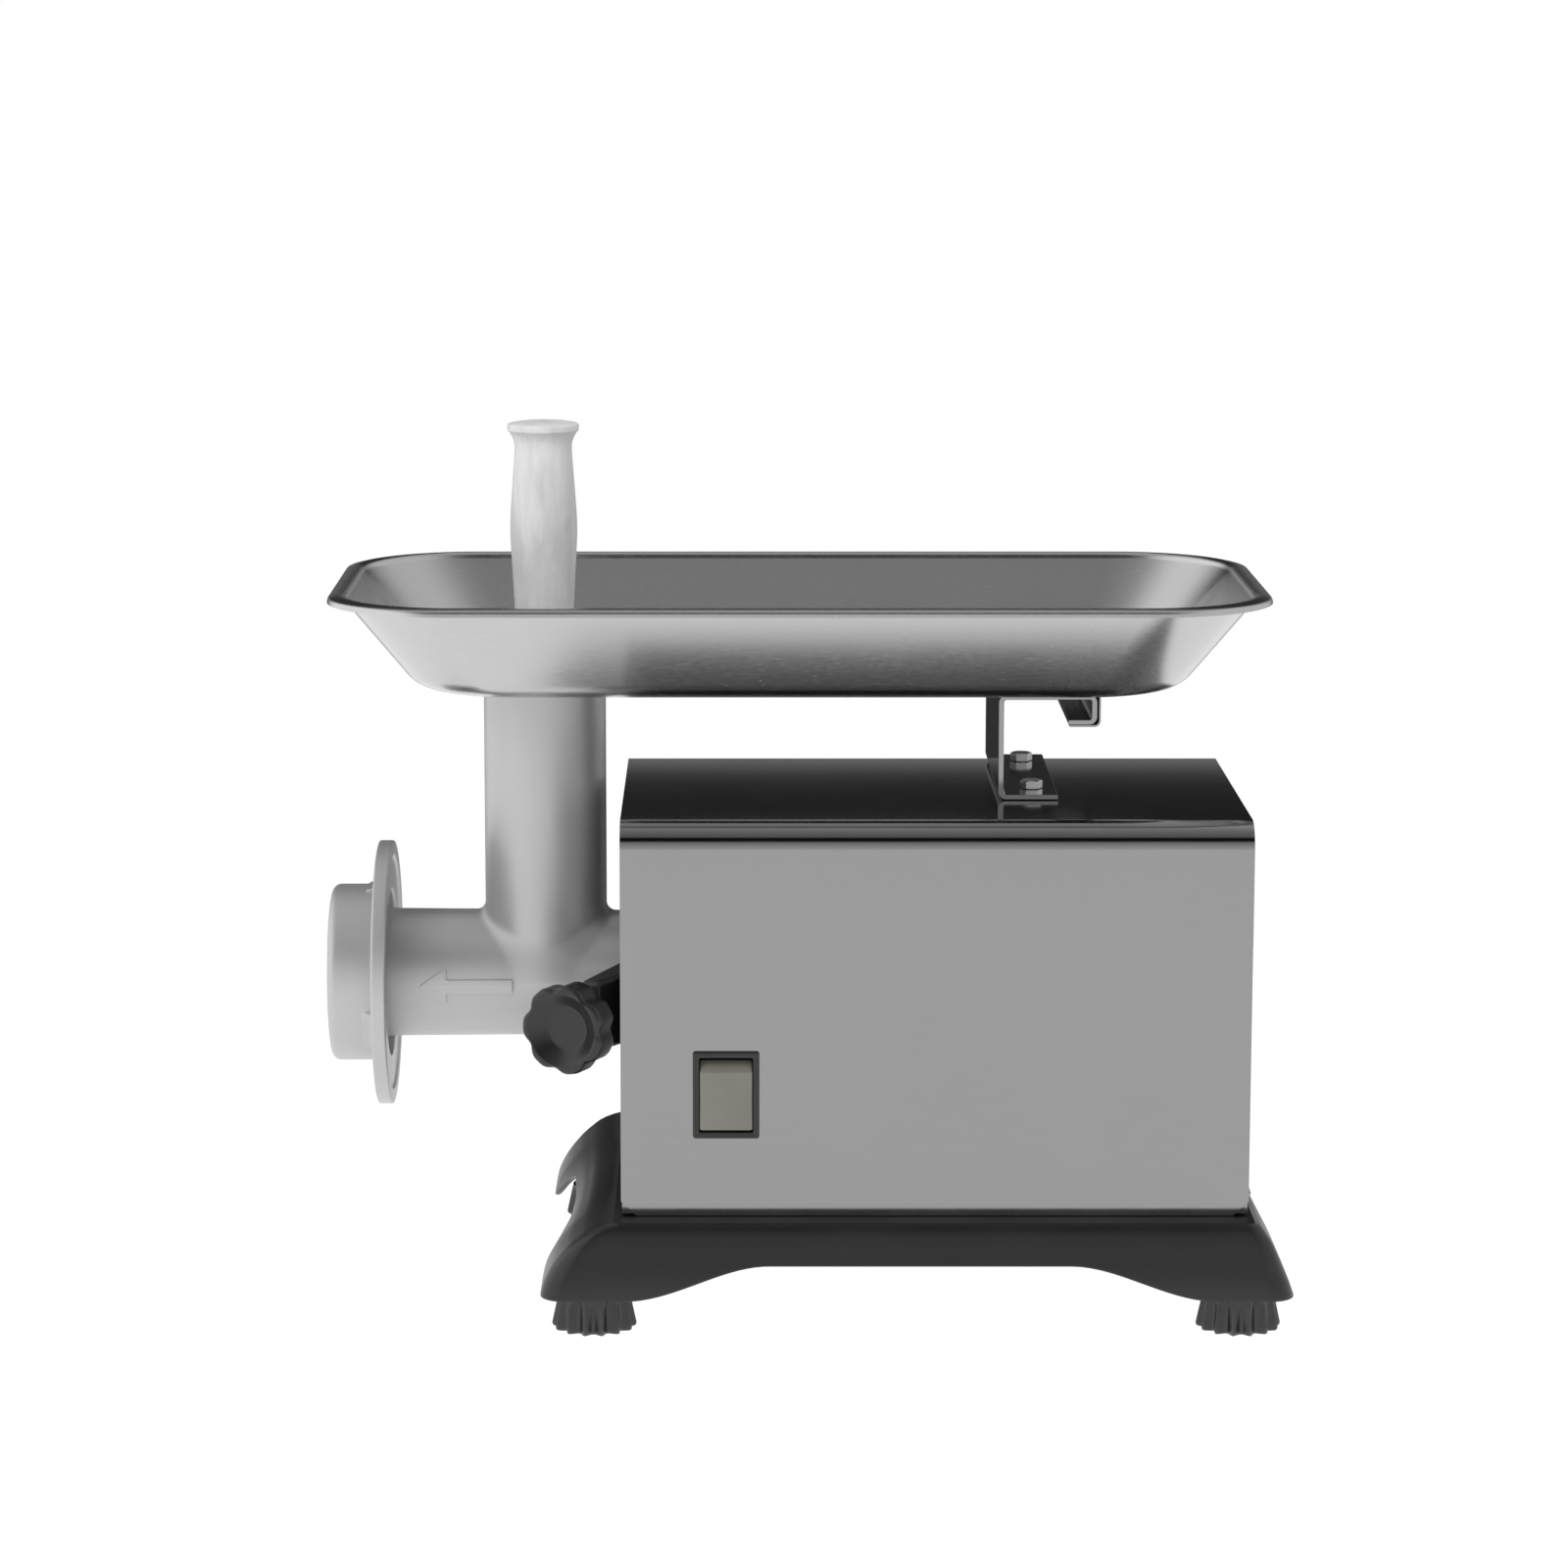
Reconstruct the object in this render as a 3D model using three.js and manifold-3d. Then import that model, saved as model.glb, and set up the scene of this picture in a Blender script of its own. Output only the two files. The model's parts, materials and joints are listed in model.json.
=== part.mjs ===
// Electric meat grinder with a size 12 head, as an assembly of separate pieces.
// Millimetres, +Z up. The origin is on the ground under the middle of the bounding box.
// The head and its gear train lie along X, with the ring nut at -X and the switch on the -Y face.
import * as THREE from "three";
import { mergeVertices } from "three/addons/utils/BufferGeometryUtils.js";
import Module from "manifold-3d";

const wasm = await Module();
wasm.setup();

// ---- driving dimensions ----
const GAP = 0.3; // clearance left between pieces that touch
const HEAD = { y: 16.5, z: 147.5 }; // axis of barrel, worm and output shaft
const MOTOR = { y: -15, z: 147.5 };
const FIRST_STAGE = { module: 1.5, pinion: 12, gear: 48, x0: 3, x1: 13 }; // motor shaft to layshaft
const SECOND_STAGE = { module: 2, pinion: 13, gear: 33, x0: -34, x1: -18 }; // layshaft to output shaft
const OUTPUT_SHAFT = { from: -86, to: -4.8, cup: 17, journal: 12.3, tail: 7.2, step: -15 };
const LAY_SHAFT = { from: -46, to: 25.5, journal: 5, journalEnd: -37.5, body: 8, bodyEnd: 13.4 };
const MOTOR_SHAFT = { radius: 7.3, to: 182 };
const THROAT_X = -128.2;

const HOUSING = { x0: -88, x1: 214.6, y0: -111.8, y1: 93.8, z0: 54.3, z1: 246, bend: 13, sheet: 1 };
const PANEL = { sheet: 1, recess: 0.5, flange: 12, bottom: 55, headHole: 32 };
const BOSS_SLOT = { y0: -86, y1: -10, z0: 131, z1: 166.5 }; // where the socket's boss leaves the left end panel
const PANEL_SCREW = { x: [-80, 206.6], z: [88, 212], shank: 1.9, head: 4, flangeBore: 2.2, shellBore: 2.3,
  length: 9 };
const VENT = { count: 9, width: 5, height: 46, pitch: 13, z: 120 };

const BASE = { top: 54, legBottom: 17.5, wall: 3, deck: 4, corner: 12, archTop: 34.3, sideArchTop: 36, boss: 10,
  screwBore: 3.3, waist: 5, waistReach: 75 };
// Each arch: where the left leg ends, the flat crown starts and ends, and the right leg starts.
const FRONT_ARCH = [-86, -17, 128, 198];
const SIDE_ARCH = [-90, -50, 32, 72];
const BASE_FLARE = [ // height, then left, right, front and back faces
  [17.5, -127, 236, -135, 117],
  [24, -125.3, 233.8, -134.6, 116.6],
  [31, -121.8, 231, -133.4, 115.4],
  [38, -116.6, 228, -131.8, 113.8],
  [45, -109.6, 224.4, -130.2, 112.2],
  [51, -100.6, 220, -128.4, 110.4],
  [54, -92, 217, -127, 109],
];
const FEET = [["front_left", -101, -114.5], ["front_right", 210, -114.5],
  ["rear_left", -101, 97.6], ["rear_right", 210, 97.6]];
const FOOT = { bottom: 20.5, top: 17.25, height: 17.2, bore: 3.4, pocket: 7, pocketTop: 6 };
const FOOT_SCREW = { head: 5.5, shank: 3, top: 34 };

const BARREL = { mouth: -229, wallBack: -90, shoulder: -84, tailEnd: -53.5, bore: 26, tail: 25, thread: 41,
  threadEnd: -210, bodyFront: 32.5, body: 31.2, plateSeat: 35.2, plateSeatEnd: -223, knifeRoom: 30,
  knifeRoomEnd: -213, chamberEnd: -98.2, stemHole: 11.4, tailBore: 20.3 };
const KEY_PIN = { x: -226.5, radius: 2, bore: 2.3, from: 31.8, to: 40.6 };
const THROAT = { outer: 30.5, neck: 22.4, ledge: 178, bore: 25.5, mouth: 27.8, mouthFloor: 286, top: 298 };
const RING = { front: -236, lip: 33, collar: 44.5, rim: 66.5, rimInner: 58.5, rimFront: -212.5, web: -211.3,
  webBack: -206.4, back: -205.2, bore: 41.6, gusset: 11 };
const PLATE = { radius: 34.7, front: -231.2, back: -223.4, hub: 6.3, hole: 4, keyway: 2.6,
  rings: [[6, 13.5], [12, 24]] }; // each ring of holes: how many, and how far out
const KNIFE = { front: -222.9, back: -214.5, hub: 11, reach: 28, arm: 4.5, square: 6 };
const WORM = { core: 12, flight: 25.2, pitch: 34, from: -203, to: -102, tang: 14, neck: 9, stem: 11, stemEnd: -88.5,
  tangEnd: -71, nose: 6, noseFront: -230.5 };
const THRUST_WASHER = { inner: 11.6, outer: 18, from: -101.4, to: -98.5 };

const TRAY = { length: 461, width: 237, x: -1.5, y: 16.5, corner: 62, rim: 347, floor: 299.3, floorInset: 54,
  fillet: 20, sheet: 1, steeper: 0.84 }; // the long walls lean less than the ends, by this share
// The rolled rim from the top of the wall outwards, as [distance in from the edge, drop below the crest].
const TRAY_RIM = [[9.6, 3], [8.6, 1.2], [7.2, 0.3], [5.6, 0], [3.4, 0.4], [1.7, 1.2], [0.8, 2.2], [0.9, 3.4]];
const SPOUT = { outer: 27, inner: 26, bottom: 288 };
const BRACKET = { y0: -45.5, y1: 78.5, sheet: 2.5, bend: 1.6, boltX: 113, boltY: [-25.5, 58.5], bolt: 3, bore: 3.3,
  footEnd: 125, post: 97, arm: 296.95, drop: 142.4, lip: 284.6, lipEnd: 129.7 };
const HOOK = { plateEnd: 158, plate: 298.2, drop: 145.25, lip: 282.25, lipEnd: 130.5, sheet: 1, bend: 1.4 };
const BOLT = { head: 5.6, headHigh: 4, end: 236, nut: 239 };
const PUSHER = { foot: 24, bottom: 182, shank: 13 };
// The pusher's handle from its shank to its mushroom top, as [radius, height].
const PUSHER_HANDLE = [[13.8, 318], [15.3, 346], [16.7, 368], [16.1, 385], [14.1, 412], [14.6, 416],
  [17.7, 422], [17.7, 424], [16.6, 426]];

const KNOB = { x: -116, y: -121, z: HEAD.z, angle: 26, radius: 22, waist: 19.8, lobes: 7, thick: 16, dish: 18.2,
  dishFloor: 10.2, dishDepth: 6 };
const CLAMP_SCREW = { from: 9.3, stem: 5, bore: 5.4, collar: 7.5, collarEnd: 27, to: 117 };
const CLAMP_PAD = { from: 117.4, to: 121.6, radius: 4.6 };
const SOCKET = { radius: 34, flange: 42, flangeThick: 6, fit: 0.4, z0: 131.5, z1: 166 };
// The socket's slanted boss seen from above: it leaves the tube, passes the end panel and ends square to the clamp.
const SOCKET_BOSS = [[-107.3, -91.8], [-98.3, -96.2], [-66, -48], [-58, -8]];
const SOCKET_BOSS_INNER = [-89.4, -44.9];
const SWITCH = { x0: -53.3, x1: -21.3, z0: 92.8, z1: 135.3, front: -113.8, pivotY: -106, lap: 2, wall: 0.6 };

const COVER = { x0: -52, x1: -38 };
const CASE = { x0: -37.7, web: -14, webEnd: 0, wall: 16, x1: 30, y0: -50, y1: 58, z1: 190 };
const STATOR = { x0: 50, x1: 120, outer: 55.7, bore: 30.3 };
const MOTOR_CASE = { x0: 30.3, x1: 140, outer: 59, inner: 56.6, floor: 34, bearingHole: 18.2 };
const END_SHIELD = { hole: 8.6, bearingBore: 17.8, hubRadius: 30, rimEnd: 146, inside: 153, end: 156 };
const FAN = { blades: 6, bore: 7.8, hub: 12, radius: 48, x0: 160, disc: 3, x1: 178 };
const GLAND = { x: 185, z: 85, bore: 4, body: 8, hole: 8.4, flange: 11.5, nut: 14, length: 14 };
const CAPACITOR = { x0: 60, x1: 122, y: 62, z: 76, radius: 17 };

// The layshaft hangs below the other two shafts, a centre distance from each.
const centreDistance = ({ module, pinion, gear }) => ((pinion + gear) * module) / 2;
function placeLayshaft() {
  const [toHead, toMotor] = [centreDistance(SECOND_STAGE), centreDistance(FIRST_STAGE)];
  const apart = HEAD.y - MOTOR.y;
  const along = (toHead ** 2 - toMotor ** 2 + apart ** 2) / (2 * apart);
  return { y: HEAD.y - along, z: HEAD.z - Math.sqrt(toHead ** 2 - along ** 2) };
}
const LAYSHAFT = placeLayshaft();

// ---- materials ----
const finish = (color, roughness, metalness) =>
  new THREE.MeshStandardMaterial({ color, roughness, metalness });
const STAINLESS = finish(0x9c9c9c, 0.35, 1);
const CAST = finish(0xb9b9b9, 0.5, 0.8);
const STEEL = finish(0x8a8d90, 0.4, 1);
const ALUMINIUM = finish(0xb4b6b8, 0.5, 0.9);
const BLACK_PLASTIC = finish(0x2e2e2e, 0.4, 0);
const WHITE_PLASTIC = finish(0xdedede, 0.5, 0);
const GREY_PLASTIC = finish(0x83827a, 0.5, 0);
const RUBBER = finish(0x333333, 0.8, 0);
const ZINC = finish(0xc4c6c8, 0.3, 1);
const CAST_IRON = finish(0x55585a, 0.6, 0.7);
const LAMINATION = finish(0x6b5a4a, 0.5, 0.8);

// ---- solids and booleans ----
function flipped(geometry) {
  const index = geometry.index.array;
  for (let i = 0; i < index.length; i += 3) [index[i + 1], index[i + 2]] = [index[i + 2], index[i + 1]];
  return geometry;
}

function signedVolume(geometry) {
  const at = geometry.attributes.position, index = geometry.index.array;
  const [a, b, c] = [0, 0, 0].map(() => new THREE.Vector3());
  let sum = 0;
  for (let i = 0; i < index.length; i += 3) {
    a.fromBufferAttribute(at, index[i]);
    b.fromBufferAttribute(at, index[i + 1]);
    c.fromBufferAttribute(at, index[i + 2]);
    sum += a.dot(b.cross(c)) / 6;
  }
  return sum;
}

// The geometry with only its positions, shared corners merged, and its faces turned outwards.
function closed(geometry) {
  geometry.deleteAttribute("normal");
  geometry.deleteAttribute("uv");
  const merged = mergeVertices(geometry, 1e-4);
  return signedVolume(merged) < 0 ? flipped(merged) : merged;
}

function toSolid(geometry) {
  const vertProperties = geometry.attributes.position.array;
  return new wasm.Manifold(
    new wasm.Mesh({ numProp: 3, vertProperties, triVerts: new Uint32Array(geometry.index.array) }),
  );
}

function toGeometry(solid) {
  const mesh = solid.getMesh();
  const geometry = new THREE.BufferGeometry();
  geometry.setAttribute("position", new THREE.BufferAttribute(mesh.vertProperties, 3));
  geometry.setIndex(new THREE.BufferAttribute(mesh.triVerts, 1));
  return geometry;
}

const join = (...parts) => toGeometry(parts.map(toSolid).reduce((a, b) => a.add(b)));
const cut = (body, ...tools) =>
  toGeometry(tools.map(toSolid).reduce((a, b) => a.subtract(b), toSolid(body)));
const common = (a, b) => toGeometry(toSolid(a).intersect(toSolid(b)));

// ---- shapes ----
// A profile of [radius, height] pairs turned about the X, Y or Z axis.
function turned(profile, along, segments = 24) {
  const geometry = new THREE.LatheGeometry(profile.map(([r, h]) => new THREE.Vector2(r, h)), segments);
  if (along === "z") geometry.rotateX(Math.PI / 2);
  if (along === "x") geometry.rotateZ(-Math.PI / 2);
  return closed(geometry);
}

const rod = (radius, from, to, along, segments = 20) =>
  turned([[0, from], [radius, from], [radius, to], [0, to]], along, segments);
const tube = (inner, outer, from, to, along, segments = 20) =>
  turned([[inner, from], [outer, from], [outer, to], [inner, to], [inner, from]], along, segments);

const hexNut = (bore, outer, from, to, along) =>
  cut(rod(outer, from, to, along, 6), rod(bore, from - 1, to + 1, along, 20));

function block(x0, x1, y0, y1, z0, z1) {
  const geometry = new THREE.BoxGeometry(x1 - x0, y1 - y0, z1 - z0);
  return closed(geometry.translate((x0 + x1) / 2, (y0 + y1) / 2, (z0 + z1) / 2));
}

// An outline drawn in YZ (along x), XZ (along y) or XY (along z), pushed from one place to another.
function extruded(outline, from, to, along, holes = []) {
  const shape = new THREE.Shape(outline.map(([a, b]) => new THREE.Vector2(a, b)));
  for (const hole of holes) shape.holes.push(new THREE.Path(hole.map(([a, b]) => new THREE.Vector2(a, b))));
  const geometry = new THREE.ExtrudeGeometry(shape, { depth: to - from, bevelEnabled: false });
  geometry.translate(0, 0, from);
  const [x, y, z] = [0, 1, 2].map((i) => new THREE.Vector3().setComponent(i, 1));
  const basis = { x: [y, z, x], y: [x, z, y], z: [x, y, z] }[along];
  return closed(geometry.applyMatrix4(new THREE.Matrix4().makeBasis(...basis)));
}

// A skin through rings of equal numbers of points, closed by a flat face at each end.
function loft(rings) {
  const count = rings[0].length;
  const index = [];
  for (let i = 0; i < rings.length - 1; i++)
    for (let j = 0; j < count; j++) {
      const [a, b] = [i * count + j, i * count + ((j + 1) % count)];
      index.push(a, b, b + count, a, b + count, a + count);
    }
  const cap = (ring, base, back) => {
    const spread = flatPlane(ring);
    for (const [a, b, c] of THREE.ShapeUtils.triangulateShape(spread, []))
      index.push(base + a, base + (back ? c : b), base + (back ? b : c));
  };
  cap(rings[0], 0, true);
  cap(rings.at(-1), (rings.length - 1) * count, false);
  const geometry = new THREE.BufferGeometry();
  geometry.setAttribute("position", new THREE.Float32BufferAttribute(rings.flat(2), 3));
  geometry.setIndex(index);
  return closed(geometry);
}

// The two coordinates in which a flat ring of points spreads, in an order that keeps its sense.
function flatPlane(ring) {
  const flat = [0, 1, 2].find((k) => ring.every((p) => Math.abs(p[k] - ring[0][k]) < 1e-6));
  return ring.map((p) => new THREE.Vector2(p[(flat + 1) % 3], p[(flat + 2) % 3]));
}

// Points around a rounded rectangle, anticlockwise, with extra points along its two X ends.
function roundedRectangle(x0, x1, y0, y1, radius, steps = 5, sideSteps = 1) {
  const points = [];
  const corners = [[x1 - radius, y0 + radius, -90], [x1 - radius, y1 - radius, 0],
    [x0 + radius, y1 - radius, 90], [x0 + radius, y0 + radius, 180]];
  corners.forEach(([cx, cy, start], k) => {
    for (let i = 0; i <= steps; i++) {
      const a = THREE.MathUtils.degToRad(start + (90 * i) / steps);
      points.push([cx + radius * Math.cos(a), cy + radius * Math.sin(a)]);
    }
    const x = points.at(-1)[0];
    const [from, to] = [points.at(-1)[1], k === 0 ? y1 - radius : y0 + radius];
    if (k % 2 === 0)
      for (let i = 1; i < sideSteps; i++) points.push([x, from + ((to - from) * i) / sideSteps]);
  });
  return points;
}

// The outline of a bent sheet: its centre line set off by half its thickness on each side.
function sheetOutline(path, thickness) {
  const side = (shift) => offsetPath(path, shift);
  return [...side(thickness / 2), ...side(-thickness / 2).reverse()];
}

function offsetPath(path, shift) {
  return path.map((p, i) => {
    const before = unit(path[Math.max(i - 1, 0)], path[Math.max(i, 1)]);
    const after = unit(path[Math.min(i, path.length - 2)], path[Math.min(i + 1, path.length - 1)]);
    const [nx, ny] = [-(before[1] + after[1]), before[0] + after[0]];
    const scale = (2 * shift) / (nx * nx + ny * ny);
    return [p[0] + nx * scale, p[1] + ny * scale];
  });
}

function unit(a, b) {
  const length = Math.hypot(b[0] - a[0], b[1] - a[1]);
  return [(b[0] - a[0]) / length, (b[1] - a[1]) / length];
}

// Points on an arc, from one angle to another in degrees.
function arc(cx, cy, radius, from, to, steps) {
  return Array.from({ length: steps + 1 }, (_, i) => {
    const a = THREE.MathUtils.degToRad(from + ((to - from) * i) / steps);
    return [cx + radius * Math.cos(a), cy + radius * Math.sin(a)];
  });
}

// ---- scene tree ----
const grinder = new THREE.Group();
function add(name, geometry, material, parent = grinder) {
  const mesh = new THREE.Mesh(geometry, material);
  mesh.name = name;
  parent.add(mesh);
  return mesh;
}
function groupAt(x, y, z) {
  const group = new THREE.Group();
  group.position.set(x, y, z);
  grinder.add(group);
  return group;
}

// ---- base and feet ----
// The side walls draw in between the legs, more so the lower they are.
function baseRing([z, x0, x1, y0, y1], inset = 0) {
  const middle = (y0 + y1) / 2;
  const { waist: deepest, waistReach, archTop } = BASE;
  const draw = (deepest * (BASE.top - z)) / (BASE.top - Math.floor(archTop));
  const outline = roundedRectangle(x0 + inset, x1 - inset, y0 + inset, y1 - inset, BASE.corner, 3, 5);
  return outline.map(([x, y]) => {
    const away = Math.abs(y - middle);
    const waist = away < waistReach ? Math.cos((away / waistReach) * (Math.PI / 2)) : 0;
    const inward = x < (x0 + x1) / 2 ? 1 : -1;
    const atSide = x < x0 + BASE.corner || x > x1 - BASE.corner;
    return [x + (atSide ? inward * draw * waist * (inward > 0 ? 1 : 0.5) : 0), y, z];
  });
}

// An arch between two legs: flat crown, then an S-shaped run down to just below each leg.
function archOutline([left, crownLeft, crownRight, right], top) {
  const spring = BASE.legBottom - 0.1;
  const ease = (from, to) => [0.15, 0.3, 0.5, 0.7, 0.85].map((t) =>
    [from + (to - from) * t, spring + (top - spring) * (t * t * (3 - 2 * t))]);
  return [[left, -5], [left, spring], ...ease(left, crownLeft), [crownLeft, top], [crownRight, top],
    ...ease(right, crownRight).reverse(), [right, spring], [right, -5]];
}

function makeBase() {
  const outer = loft(BASE_FLARE.map((level) => baseRing(level)));
  const inside = BASE_FLARE.map(([z, ...faces]) => [z === BASE.legBottom ? z - 0.5 : z - BASE.deck, ...faces]);
  const hollow = loft(inside.map((level) => baseRing(level, BASE.wall)));
  const bosses = FEET.map(([, x, y]) =>
    closed(rod(BASE.boss, FOOT.height + GAP, BASE.top - 2, "z", 16).translate(x, y, 0)));
  const shell = cut(outer, hollow);
  const joined = join(shell, ...bosses.map((boss) => common(boss, outer)));
  const frontArch = extruded(archOutline(FRONT_ARCH, BASE.archTop), -150, 130, "y");
  const sideArch = extruded(archOutline(SIDE_ARCH, BASE.sideArchTop), -140, 250, "x");
  const bores = FEET.map(([, x, y]) =>
    closed(rod(BASE.screwBore, 0, FOOT_SCREW.top + 2, "z", 12).translate(x, y, 0)));
  return cut(joined, frontArch, sideArch, ...bores);
}

add("base", makeBase(), BLACK_PLASTIC);
for (const [place, x, y] of FEET) {
  const { bottom, top, height, bore, pocket, pocketTop } = FOOT;
  const foot = turned([[bore, pocketTop], [pocket, pocketTop], [pocket, 0], [bottom - 1, 0], [bottom, 2],
    [top, height], [bore, height], [bore, pocketTop]], "z", 16);
  add(`foot_${place}`, foot, RUBBER).position.set(x, y, 0);
  const screw = turned([[0, 1.5], [FOOT_SCREW.head, 1.5], [FOOT_SCREW.head, pocketTop - GAP],
    [FOOT_SCREW.shank, pocketTop - GAP], [FOOT_SCREW.shank, FOOT_SCREW.top], [0, FOOT_SCREW.top]], "z", 12);
  add(`foot_screw_${place}`, screw, ZINC).position.set(x, y, 0);
}

// ---- housing ----
// The housing's section across X, drawn at an inset from its outer face.
function housingPath(inset, bottom) {
  const { y0, y1, z1, bend } = HOUSING;
  const r = bend - inset;
  return [[y0 + inset, bottom], ...arc(y0 + bend, z1 - bend, r, 180, 90, 4),
    ...arc(y1 - bend, z1 - bend, r, 90, 0, 4), [y1 - inset, bottom]];
}

function makeHousingShell() {
  const { x0, x1, y0, z0, z1, sheet } = HOUSING;
  const shell = extruded(sheetOutline(housingPath(sheet / 2, z0), sheet), x0, x1, "x");
  const clip = (x, way) => // the sheet's lower front corners, cut off
    extruded([[x, z0 - 1], [x + 6 * way, z0 - 1], [x, z0 + 5]], y0 - 5, y0 + 5, "y");
  const { x0: sx0, x1: sx1, z0: sz0, z1: sz1 } = SWITCH;
  const lap = SWITCH.lap;
  const switchHole = block(sx0 + lap, sx1 - lap, y0 - 5, y0 + 5, sz0 + lap, sz1 - lap);
  const glandHole = closed(rod(GLAND.hole, 80, 110, "y", 16).translate(GLAND.x, 0, GLAND.z));
  const boltHoles = BRACKET.boltY.map((y) =>
    closed(rod(BRACKET.bolt + 0.4, z1 - 5, z1 + 5, "z", 12).translate(BRACKET.boltX, y, 0)));
  return cut(shell, clip(x0 - 0.01, 1), clip(x1 + 0.01, -1), switchHole, glandHole, ...boltHoles,
    ...screwPlaces().map(([x, z]) => closed(rod(PANEL_SCREW.shellBore, 80, 110, "y", 10).translate(x, 0, z))));
}

// Where the sheet-metal screws go through the back of the shell into the panels' flanges.
const screwPlaces = () => PANEL_SCREW.x.flatMap((x) => PANEL_SCREW.z.map((z) => [x, z]));

// An end panel: a flat plate inside the end of the shell, with a flange turned inwards all round.
function makeEndPanel(x, way) {
  const inset = HOUSING.sheet + GAP;
  const section = housingPath(inset, PANEL.bottom);
  const face = x + way * PANEL.recess;
  const plate = extruded(section, Math.min(face, face + way), Math.max(face, face + way), "x");
  const ends = [face + way / 2, face + way * PANEL.flange];
  const line = housingPath(inset + PANEL.sheet / 2, PANEL.bottom);
  const flange = extruded(sheetOutline(line, PANEL.sheet), Math.min(...ends), Math.max(...ends), "x");
  return cut(join(plate, flange), ...screwPlaces().map(([sx, sz]) =>
    closed(rod(PANEL_SCREW.flangeBore, 80, 110, "y", 10).translate(sx, 0, sz))));
}

function makeLeftPanel() {
  const hole = closed(rod(PANEL.headHole, -95, -80, "x", 32).translate(0, HEAD.y, HEAD.z));
  const slot = block(-95, -80, BOSS_SLOT.y0, BOSS_SLOT.y1, BOSS_SLOT.z0, BOSS_SLOT.z1);
  return cut(makeEndPanel(HOUSING.x0, 1), hole, slot);
}

function makeRightPanel() {
  const middle = (HOUSING.y0 + HOUSING.y1) / 2;
  const slots = Array.from({ length: VENT.count }, (_, i) => {
    const y = middle + (i - (VENT.count - 1) / 2) * VENT.pitch;
    return block(HOUSING.x1 - 9.6, HOUSING.x1 + 5.4, y - VENT.width / 2, y + VENT.width / 2,
      VENT.z, VENT.z + VENT.height);
  });
  return cut(makeEndPanel(HOUSING.x1, -1), ...slots);
}

add("housing_shell", makeHousingShell(), STAINLESS);
add("left_end_panel", makeLeftPanel(), STAINLESS);
add("right_end_panel", makeRightPanel(), STAINLESS);
screwPlaces().forEach(([x, z], i) => {
  const back = HOUSING.y1;
  const { shank, head, length } = PANEL_SCREW;
  const screw = turned([[0, back - length], [shank, back - length], [shank, back + 0.2], [head, back + 0.2],
    [head - 0.6, back + 2], [0, back + 2.4]], "y", 12);
  add(`panel_screw_${i + 1}`, screw, ZINC).position.set(x, 0, z);
});

// ---- clamp: a screw in the head socket's slanted boss, with a knob outside and a pad at its tip ----
// Its axis is local X, running inwards from the knob's outer face.
const clamp = groupAt(KNOB.x, KNOB.y, KNOB.z);
clamp.rotation.z = THREE.MathUtils.degToRad(90 - KNOB.angle);
clamp.updateMatrixWorld(true);
const onClamp = (geometry) => closed(geometry.clone().applyMatrix4(clamp.matrixWorld));

function makeHeadSocket() {
  const { shoulder, tail } = BARREL;
  const inner = tail + SOCKET.fit;
  const face = shoulder + GAP, end = COVER.x0 - GAP;
  const ring = tube(inner, SOCKET.radius, face, end, "x", 28);
  const flange = tube(inner, SOCKET.flange, end - SOCKET.flangeThick, end, "x", 28);
  const tubeBody = closed(join(ring, flange).translate(0, HEAD.y, HEAD.z));
  const boss = extruded([...SOCKET_BOSS, [face, -8], [face, -31], SOCKET_BOSS_INNER], SOCKET.z0, SOCKET.z1, "z");
  const bore = closed(rod(inner, shoulder - 11, end + 12.3, "x", 28).translate(0, HEAD.y, HEAD.z));
  return cut(join(tubeBody, boss), bore, onClamp(rod(CLAMP_SCREW.bore, 20, 140, "x", 16)));
}

function makeKnob() {
  const { radius, waist, lobes, thick } = KNOB;
  const outline = Array.from({ length: lobes * 4 }, (_, i) => {
    const a = (i / (lobes * 4)) * 2 * Math.PI;
    const r = (radius + waist) / 2 + ((radius - waist) / 2) * Math.cos(lobes * a);
    return [r * Math.cos(a), r * Math.sin(a)];
  });
  const { dish: wide, dishFloor, dishDepth } = KNOB;
  const dish = turned([[0, -1], [wide, -1], [wide - 1.2, 0], [dishFloor, dishDepth], [0, dishDepth]], "x", 24);
  const bore = rod(CLAMP_SCREW.bore, CLAMP_SCREW.from - GAP, thick + 1, "x", 12);
  return cut(extruded(outline, 0, thick, "x"), dish, bore);
}

function makeClampScrew() {
  const { from, stem, collar, collarEnd, to } = CLAMP_SCREW;
  const seat = KNOB.thick + GAP;
  return turned([[0, from], [stem, from], [stem, seat], [collar, seat], [collar, collarEnd], [stem, collarEnd],
    [stem, to], [0, to]], "x", 16);
}

add("head_socket", makeHeadSocket(), BLACK_PLASTIC);
add("clamp_knob", makeKnob(), BLACK_PLASTIC, clamp);
add("clamp_screw", makeClampScrew(), ZINC, clamp);
add("clamp_pad", rod(CLAMP_PAD.radius, CLAMP_PAD.from, CLAMP_PAD.to, "x", 16), CAST_IRON, clamp);

// ---- head: barrel, ring nut, plate, knife and worm, in a frame on the head's axis ----
const head = groupAt(0, HEAD.y, HEAD.z);
const throatAt = (geometry) => closed(geometry.translate(THROAT_X, 0, 0));

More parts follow.
